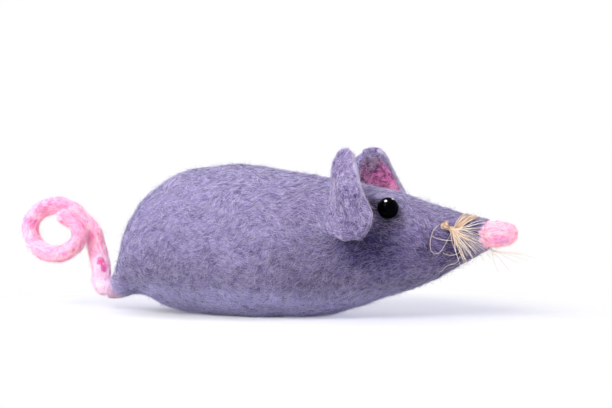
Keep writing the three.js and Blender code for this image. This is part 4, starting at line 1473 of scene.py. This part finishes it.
@dataclass
class Whiskers:
    """Frayed straw twine: a bundle over the bridge of the nose, a knot and a tuft on each side."""

    shop: Workshop
    form: BodyForm
    points: int = 14
    sides: int = 5
    seed: int = 71
    radius: float = 0.062
    root_tone: float = 0.4
    neck: Triple = (47.5, 22.0, 0.7)
    knot: Triple = (46.1, 28.0, 0.45)
    knot_radius: float = 0.95
    knot_squash: float = 0.75
    knot_depth: float = 0.5
    knot_strands: int = 6
    knot_points: int = 48
    knot_spread: float = 0.16
    knot_turn: float = 0.985
    knot_thickness: float = 1.8
    knot_tones: Pair = (0.1, 0.5)
    side_x: float = 48.4
    top_x: float = 51.0
    end_angle: float = 24.0
    bundle_strands: int = 40
    bundle_half: float = 1.5
    bundle_height: float = 0.35
    bundle_rise: float = 0.1
    bundle_points: int = 9
    bundle_waist: float = 0.45
    bundle_wave: float = 0.25
    bundle_waves: float = 5.0
    bundle_phase: float = 6.0
    bundle_tones: Pair = (0.1, 0.8)
    front_x: float = 54.0
    fan_strands: int = 46
    fan_turns: tuple[float, ...] = (6.0, 73.0)
    fan_lengths: tuple[float, ...] = (10.2, 8.8)
    fan_crowding: float = 0.78
    fan_clumps: int = 16
    fan_hold: float = 0.7
    fan_short: float = 0.35
    short_cut: Pair = (0.3, 0.5)
    short_tones: Pair = (0.0, 0.5)
    long_cut: Pair = (0.75, 1.06)
    long_tones: Pair = (0.5, 1.0)
    fan_lift: Pair = (0.0, 1.1)
    fan_sag: Pair = (-0.4, 0.9)
    fan_droop: float = 0.05
    fan_steps: Triple = (0.35, 0.7, 1.0)
    fan_thickness: Pair = (0.6, 0.9)
    root_wander: float = 0.3
    tip_wander: float = 0.16
    bridge_strands: int = 9
    bridge_x: Pair = (50.4, 52.4)
    bridge_starts: Pair = (30.0, 20.0)
    bridge_middle: float = 26.0
    bridge_ends: Pair = (62.0, -16.0)
    bridge_wander: float = 0.1
    bridge_scatter: float = 4.0
    bridge_lifts: tuple[float, ...] = (0.9, 0.7, 0.7, 0.6)
    bridge_tip_lift: Pair = (0.2, 0.7)
    bridge_tip: Pair = (0.2, 1.8)
    bridge_thickness: float = 0.8
    bridge_tones: Pair = (0.7, 1.0)
    loose: tuple = (
        ((44.9, 32), (43.7, 22), (43.0, 3), (43.1, -13), (44.1, -21), (45.3, -16), (46.9, 5), (47.7, 19)),
        ((43.4, 10), (44.4, 6), (45.8, 3), (46.8, 1), (47.8, 0), (49.0, 2)),
        ((45.6, -20), (46.1, -24), (47.5, -31), (48.9, -30), (49.6, -22)),
        ((43.6, -58), (44.2, -61), (45.8, -53), (48.0, -54), (49.0, -40)),
    )
    far_ends: tuple = (
        (64.5, 7.0, 14.9),
        (62.6, 7.4, 14.3),
        (63.0, 6.6, 15.8),
        (60.4, 7.0, 13.6),
        (58.2, 7.0, 11.8),
        (55.6, 7.0, 11.4),
        (61.0, 6.8, 15.6),
    )
    far_bend: Triple = (54.4, 4.8, 16.9)
    far_wander: float = 0.3
    far_root_wander: float = 0.2
    far_thickness: float = 0.9
    far_tone: float = 0.6
    loose_rise: float = 0.35
    loose_step: float = 0.15
    loose_thickness: float = 0.75
    taper: float = 0.55
    pale_from: float = 0.6

    def __post_init__(self) -> None:
        """Starts the random draws."""
        self.draw = np.random.default_rng(self.seed)

    def strand(self, route: list, radius: float, side: Side, points: int, tone: float) -> Shape:
        """Args: points of the route, thickness, side, rings, tone. Returns: one strand."""
        path = side.turned(SmoothLine(route).even(points))
        along = np.linspace(0.0, 1.0, points)
        shape = Shape.tube(path, radius * (1 - self.taper * along**2), self.sides)
        lighter = np.interp(along, (0.0, self.pale_from), (self.root_tone, 1.0))
        shape.values = {"fibre_tone": np.repeat(tone * lighter, self.sides)}
        return shape

    def wander(self, size: float) -> np.ndarray:
        """Args: size. Returns: a small random shift."""
        return self.draw.normal(0.0, size, 3)

    def axes(self, x: float, angle: float) -> tuple[np.ndarray, np.ndarray, np.ndarray]:
        """Args: place on the snout. Returns: ways out of it, forward and down along it."""
        out = self.form.normal(x, angle)
        ahead = unit(np.array((1.0, 0.0, 0.0)) - out * out[0])
        return out, ahead, np.cross(ahead, out)

    def bundle(self) -> list[Shape]:
        """Returns: strands over the bridge from knot to knot."""
        shapes = []
        for _ in range(self.bundle_strands):
            limits = (-1.0, 1.0), (0.0, 1.0), (0.0, self.bundle_phase)
            wide, high, phase = (self.draw.uniform(*pair) for pair in limits)
            route = []
            for share in np.linspace(0.0, 1.0, self.bundle_points):
                arch = math.sin(math.pi * share)
                angle = self.end_angle + (180 - 2 * self.end_angle) * share
                wave = wide + self.bundle_wave * math.sin(phase + self.bundle_waves * share)
                spread = self.bundle_half * (self.bundle_waist + (1 - self.bundle_waist) * arch) * wave
                x = min(self.side_x + (self.top_x - self.side_x) * arch + spread, self.front_x)
                route.append(self.form.above(x, angle, self.bundle_rise + self.bundle_height * high))
            tone = self.draw.uniform(*self.bundle_tones)
            shapes.append(self.strand(route, self.radius, Side.RIGHT, self.points, tone))
        return shapes

    def knots(self, side: Side) -> list[Shape]:
        """Args: side. Returns: the strands of its knot."""
        x, angle, rise = self.knot
        centre = self.form.above(x, angle, rise)
        out, ahead, down = self.axes(x, angle)
        turns = np.linspace(0.0, math.tau * self.knot_turn, self.knot_points)
        shapes = []
        for _ in range(self.knot_strands):
            shift = self.wander(self.knot_spread)
            route = []
            for t in turns:
                flat = (math.sin(t) + 2 * math.sin(2 * t)) / 3, (math.cos(t) - 2 * math.cos(2 * t)) / 3
                lift = self.knot_depth * (1 - math.sin(3 * t))
                place = (ahead * flat[0] + down * flat[1] * self.knot_squash) * self.knot_radius
                route.append(centre + place + out * lift + shift)
            tone, radius = self.draw.uniform(*self.knot_tones), self.radius * self.knot_thickness
            shapes.append(self.strand(route, radius, side, self.knot_points, tone))
        return shapes

    def fan(self, side: Side) -> list[Shape]:
        """Args: side. Returns: the strands of its tuft."""
        x, angle, rise = self.neck
        out, ahead, down = self.axes(x, angle)
        start = self.form.above(x, angle, rise)
        knot = self.form.above(*self.knot)
        shapes = []
        for index in range(self.fan_strands):
            share = ((index + self.draw.uniform(0, 1)) / self.fan_strands) ** self.fan_crowding
            clump = round(share * self.fan_clumps) / self.fan_clumps
            clump = self.fan_hold * clump + (1 - self.fan_hold) * share
            turn = math.radians(np.interp(clump, (0, 1), self.fan_turns))
            short = self.draw.uniform() < self.fan_short
            cut, tones = (self.short_cut, self.short_tones) if short else (self.long_cut, self.long_tones)
            reach = np.interp(share, (0, 1), self.fan_lengths) * self.draw.uniform(*cut)
            lift, sag = (self.draw.uniform(*limits) for limits in (self.fan_lift, self.fan_sag))
            way = ahead * math.cos(turn) + down * math.sin(turn)
            root = start + self.wander(self.root_wander)
            route = [knot + out * self.knot_depth + self.wander(self.root_wander), root]
            for along in self.fan_steps:
                drop = np.array((0, 0, sag * along**2))
                fall = out * (lift * along - self.fan_droop * reach * along**2) - drop
                route.append(root + way * reach * along + fall + self.wander(self.tip_wander))
            radius = self.radius * np.interp(share, (0, 1), self.fan_thickness)
            shapes.append(self.strand(route, radius, side, self.points, self.draw.uniform(*tones)))
        return shapes

    def bridge(self, side: Side) -> list[Shape]:
        """Args: side. Returns: strands that leave the bundle towards the nose."""
        shapes = []
        for index in range(self.bridge_strands):
            share = index / (self.bridge_strands - 1)
            begin, end = (np.interp(share, (0, 1), pair) for pair in (self.bridge_starts, self.bridge_ends))
            end += self.draw.normal(0, self.bridge_scatter)
            angles = begin, (self.bridge_middle + end) / 2, end
            places = self.knot[:2], self.neck[:2], *zip((*self.bridge_x, self.front_x), angles)
            lifts = (*self.bridge_lifts, self.draw.uniform(*self.bridge_tip_lift))
            places = [self.form.above(*place, lift) for place, lift in zip(places, lifts)]
            route = [place + self.wander(self.bridge_wander) for place in places]
            route.append(route[-1] + unit(route[-1] - route[-2]) * self.draw.uniform(*self.bridge_tip))
            tone, radius = self.draw.uniform(*self.bridge_tones), self.radius * self.bridge_thickness
            shapes.append(self.strand(route, radius, side, self.points, tone))
        return shapes

    def strays(self) -> list[Shape]:
        """Returns: loose strands on the near cheek and long ones past the far side of the nose."""
        shapes = []
        for places in self.loose:
            rises = (self.loose_rise + self.loose_step * (i % 2) for i in range(len(places)))
            route = [self.form.above(*place, rise) for place, rise in zip(places, rises)]
            radius = self.radius * self.loose_thickness
            shapes.append(self.strand(route, radius, Side.RIGHT, self.points, 1.0))
        start = Side.LEFT.turned(self.form.above(*self.neck))
        for end in self.far_ends:
            bend = np.array(self.far_bend) + self.wander(self.far_wander)
            root = start + self.wander(self.far_root_wander)
            route = [root, bend, (bend + end) / 2 + self.wander(self.far_wander), end]
            radius = self.radius * self.far_thickness
            shapes.append(self.strand(route, radius, Side.RIGHT, self.points, self.far_tone))
        return shapes

    def mount(self, name: str, shapes: list[Shape], points: int, *nodes: str) -> None:
        """Args: name, strands, their rings and the nodes that they stand for."""
        piece = Shape.joined(shapes).piece(name, self.straw)
        bake_map(piece.data, points, self.sides)
        self.shop.mount(piece, "mouse", Slot.STRAW, *nodes)

    def dress(self) -> None:
        """Makes every strand and mounts the pieces."""
        self.straw = STRAW.build()
        self.mount("whisker_bundle", self.bundle(), self.points, "whisker_twine")
        for side in Side:
            word = side.word
            self.mount(f"whisker_tie_{word}", self.knots(side), self.knot_points, f"whisker_knot_{word}")
            fan = self.fan(side) + self.bridge(side)
            self.mount(f"whisker_fan_{word}", fan, self.points, f"whisker_tuft_{word}")
        self.mount("whisker_strays", self.strays(), self.points)


@dataclass
class EyeThread:
    """Two-ply thread that draws the eyes together, inside the head."""

    shop: Workshop
    radius: float = 0.16
    ply: float = 0.15
    turns: float = 9.0
    points: int = 120
    sides: int = 6
    ends: Pair = (0.02, 0.98)

    def dress(self) -> None:
        """Makes the thread along its node's box and mounts it."""
        low, high = (np.array(corner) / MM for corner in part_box("eye_thread"))
        middle = (low + high) / 2
        shapes = []
        for phase in (0.0, math.pi):
            share = np.linspace(*self.ends, self.points)
            twist = phase + math.tau * self.turns * share
            across = low[1] + (high[1] - low[1]) * share
            along, up = middle[0] + self.ply * np.cos(twist), middle[2] + self.ply * np.sin(twist)
            path = np.stack([along, across, up], axis=1)
            shapes.append(Shape.tube(path, np.full(self.points, self.radius), self.sides))
        piece = Shape.joined(shapes).piece("eye_tie", THREAD.build())
        self.shop.mount(piece, "mouse", Slot.THREAD, "eye_thread")


def aim(piece: Object, place: Triple, target: Triple) -> None:
    """Args: object, where it stands and what it looks at, in mm."""
    piece.location = Vector(place) * MM
    way = Vector(target) - Vector(place)
    piece.rotation_euler = way.to_track_quat("-Z", "Y").to_euler()


class Lights(Enum):
    """What a lamp lights: everything, all but the table, the table alone, or glossy things."""

    ALL = "ALL"
    MOUSE = "EXCLUDE"
    TABLE = "INCLUDE"
    GLOSS = "GLOSS"


@dataclass(frozen=True)
class Lamp:
    """Soft lamp; lengths in mm, power in watts."""

    name: str
    place: Triple
    size: Pair
    power: float
    lights: Lights = Lights.ALL

    def build(self, target: Triple, table: Object) -> None:
        """Args: what it is aimed at, in mm, and the table."""
        light = bpy.data.lights.new(self.name, "AREA")
        light.shape, light.energy = "RECTANGLE", self.power
        light.size, light.size_y = (side * MM for side in self.size)
        made = placed(self.name, light)
        aim(made, self.place, target)
        if self.lights is Lights.GLOSS:
            made.visible_diffuse = False
        elif self.lights is not Lights.ALL:
            receivers = bpy.data.collections.new(f"{self.name}_receivers")
            receivers.objects.link(table)
            receivers.collection_objects[0].light_linking.link_state = self.lights.value
            made.light_linking.receiver_collection = receivers


@dataclass
class Studio:
    """White table, soft light from above and from the front, and the camera; lengths in mm."""

    target: Triple = (9.35, 0.0, 27.4)
    eye: Triple = (146.13, -375.79, 35.78)
    lens: float = 96.43
    sensor: float = 36.0
    clip: Pair = (10.0, 20000.0)
    floor_radius: float = 4000.0
    floor_sides: int = 96
    floor_drop: float = 0.02
    floor_white: Triple = (0.36, 0.36, 0.34)
    floor_glow: Triple = (0.45, 0.45, 0.56)
    near_light: float = 0.28
    # painted contact shadow on the table, round where the mouse rests
    rest_place: Triple = (-12.0, 0.0, 0.0)
    rest_size: Triple = (30.0, 22.0, 30.0)
    rest_edge: Pair = (0.5, 1.1)
    rest_glow: float = 0.5
    far_white: float = 1.6
    glow_start: float = 56.0
    glow_end: float = 96.0
    ambient: float = 0.845
    lamps: tuple[Lamp, ...] = (
        Lamp("key_light", (-150.0, -220.0, 540.0), (700.0, 700.0), 3.2, Lights.MOUSE),
        Lamp("table_light", (0.0, -600.0, 330.0), (250.0, 250.0), 5.0, Lights.TABLE),
        Lamp("fill_light", (-180.0, -400.0, 300.0), (300.0, 300.0), 1.95),
        Lamp("catch_light", (-120.0, -70.0, 520.0), (230.0, 170.0), 80.0, Lights.GLOSS),
        Lamp("glint_light", (54.0, 412.0, 289.0), (80.0, 60.0), 0.9, Lights.GLOSS),
    )

    @staticmethod
    def shown(graph: Graph, seen_as: float, lights_as: float) -> Node:
        """Args: builder, strength that is seen and strength that lights. Returns: the strength."""
        path = graph.add("ShaderNodeLightPath").outputs
        seen = graph.math("MAXIMUM", path["Is Camera Ray"], path["Is Transmission Ray"])
        seen = graph.math("MAXIMUM", seen, path["Is Glossy Ray"])
        return graph.math("MULTIPLY_ADD", seen, seen_as - lights_as, lights_as)

    def floor(self) -> Object:
        """Returns: the table, which keeps the shadow near the mouse, has a painted contact shadow where the
        mouse rests, and is white farther away.
        """
        around = circle(self.floor_sides)
        edge = [self.floor_radius * np.cos(around), self.floor_radius * np.sin(around)]
        points = np.stack([*edge, np.full(len(around), -self.floor_drop)], axis=1)
        finish, graph, shader = new_material("white_table")
        graph.tree.nodes.remove(shader)
        place = graph.add("ShaderNodeTexCoord").outputs["Object"]
        away = graph.vector("LENGTH", place).outputs["Value"]
        far = graph.eased(away, self.glow_start * MM, self.glow_end * MM)
        matt = graph.add("ShaderNodeBsdfDiffuse", {"Color": (*self.floor_white, 1.0)})
        # painted contact shadow: the table's glow drops to a share round where the mouse rests
        rest = graph.vector("SUBTRACT", place, Vector(self.rest_place) * MM)
        rest = graph.vector("DIVIDE", rest, Vector(self.rest_size) * MM)
        unshadowed = graph.eased(graph.vector("LENGTH", rest).outputs["Value"], *self.rest_edge)
        share = graph.math("MULTIPLY_ADD", unshadowed, 1 - self.rest_glow, self.rest_glow)
        strength = graph.math("MULTIPLY", self.shown(graph, 1.0, self.near_light), share)
        lit = {"Color": (*self.floor_glow, 1.0), "Strength": strength}
        glow = graph.add("ShaderNodeEmission", lit)
        white = graph.add("ShaderNodeEmission", {"Strength": self.shown(graph, 1.0, self.far_white)})
        near = graph.add("ShaderNodeAddShader", {0: matt, 1: glow})
        both = graph.add("ShaderNodeMixShader", {0: far, 1: near, 2: white})
        graph.give(graph.tree.nodes["Material Output"], {"Surface": both})
        table = Shape(points, [tuple(range(len(points)))]).piece("table", finish)
        return table

    def world(self) -> None:
        """Makes the white surroundings, which light the mouse less than they show."""
        world = bpy.data.worlds.new("surroundings")
        bpy.context.scene.world = world
        world.use_nodes = True
        graph = Graph(world.node_tree)
        white = {"Color": (1.0, 1.0, 1.0, 1.0), "Strength": self.shown(graph, 1.0, self.ambient)}
        graph.give(world.node_tree.nodes["Background"], white)

    def build(self) -> None:
        """Sets table, surroundings, lamps and camera."""
        table = self.floor()
        self.world()
        for lamp in self.lamps:
            lamp.build(self.target, table)
        lens = bpy.data.cameras.new("camera")
        lens.lens, lens.sensor_width = self.lens, self.sensor
        lens.clip_start, lens.clip_end = (reach * MM for reach in self.clip)
        camera = placed("camera", lens)
        aim(camera, self.eye, self.target)
        bpy.context.scene.camera = camera
        bpy.context.scene.view_settings.view_transform = "Standard"


def main() -> None:
    """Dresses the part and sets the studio."""
    logging.basicConfig(level=logging.INFO, format="%(name)s: %(message)s")
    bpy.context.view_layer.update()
    shop, form = Workshop(), BodyForm()
    Body(shop, form).dress()
    for side in Side:
        Ear(shop, form, side, EAR_LEANS[side]).dress()
        Eye(shop, form, side).dress()
    Nose(shop).dress()
    Tail(shop).dress()
    Whiskers(shop, form).dress()
    EyeThread(shop).dress()
    Studio().build()


if __name__ == "__main__":
    main()
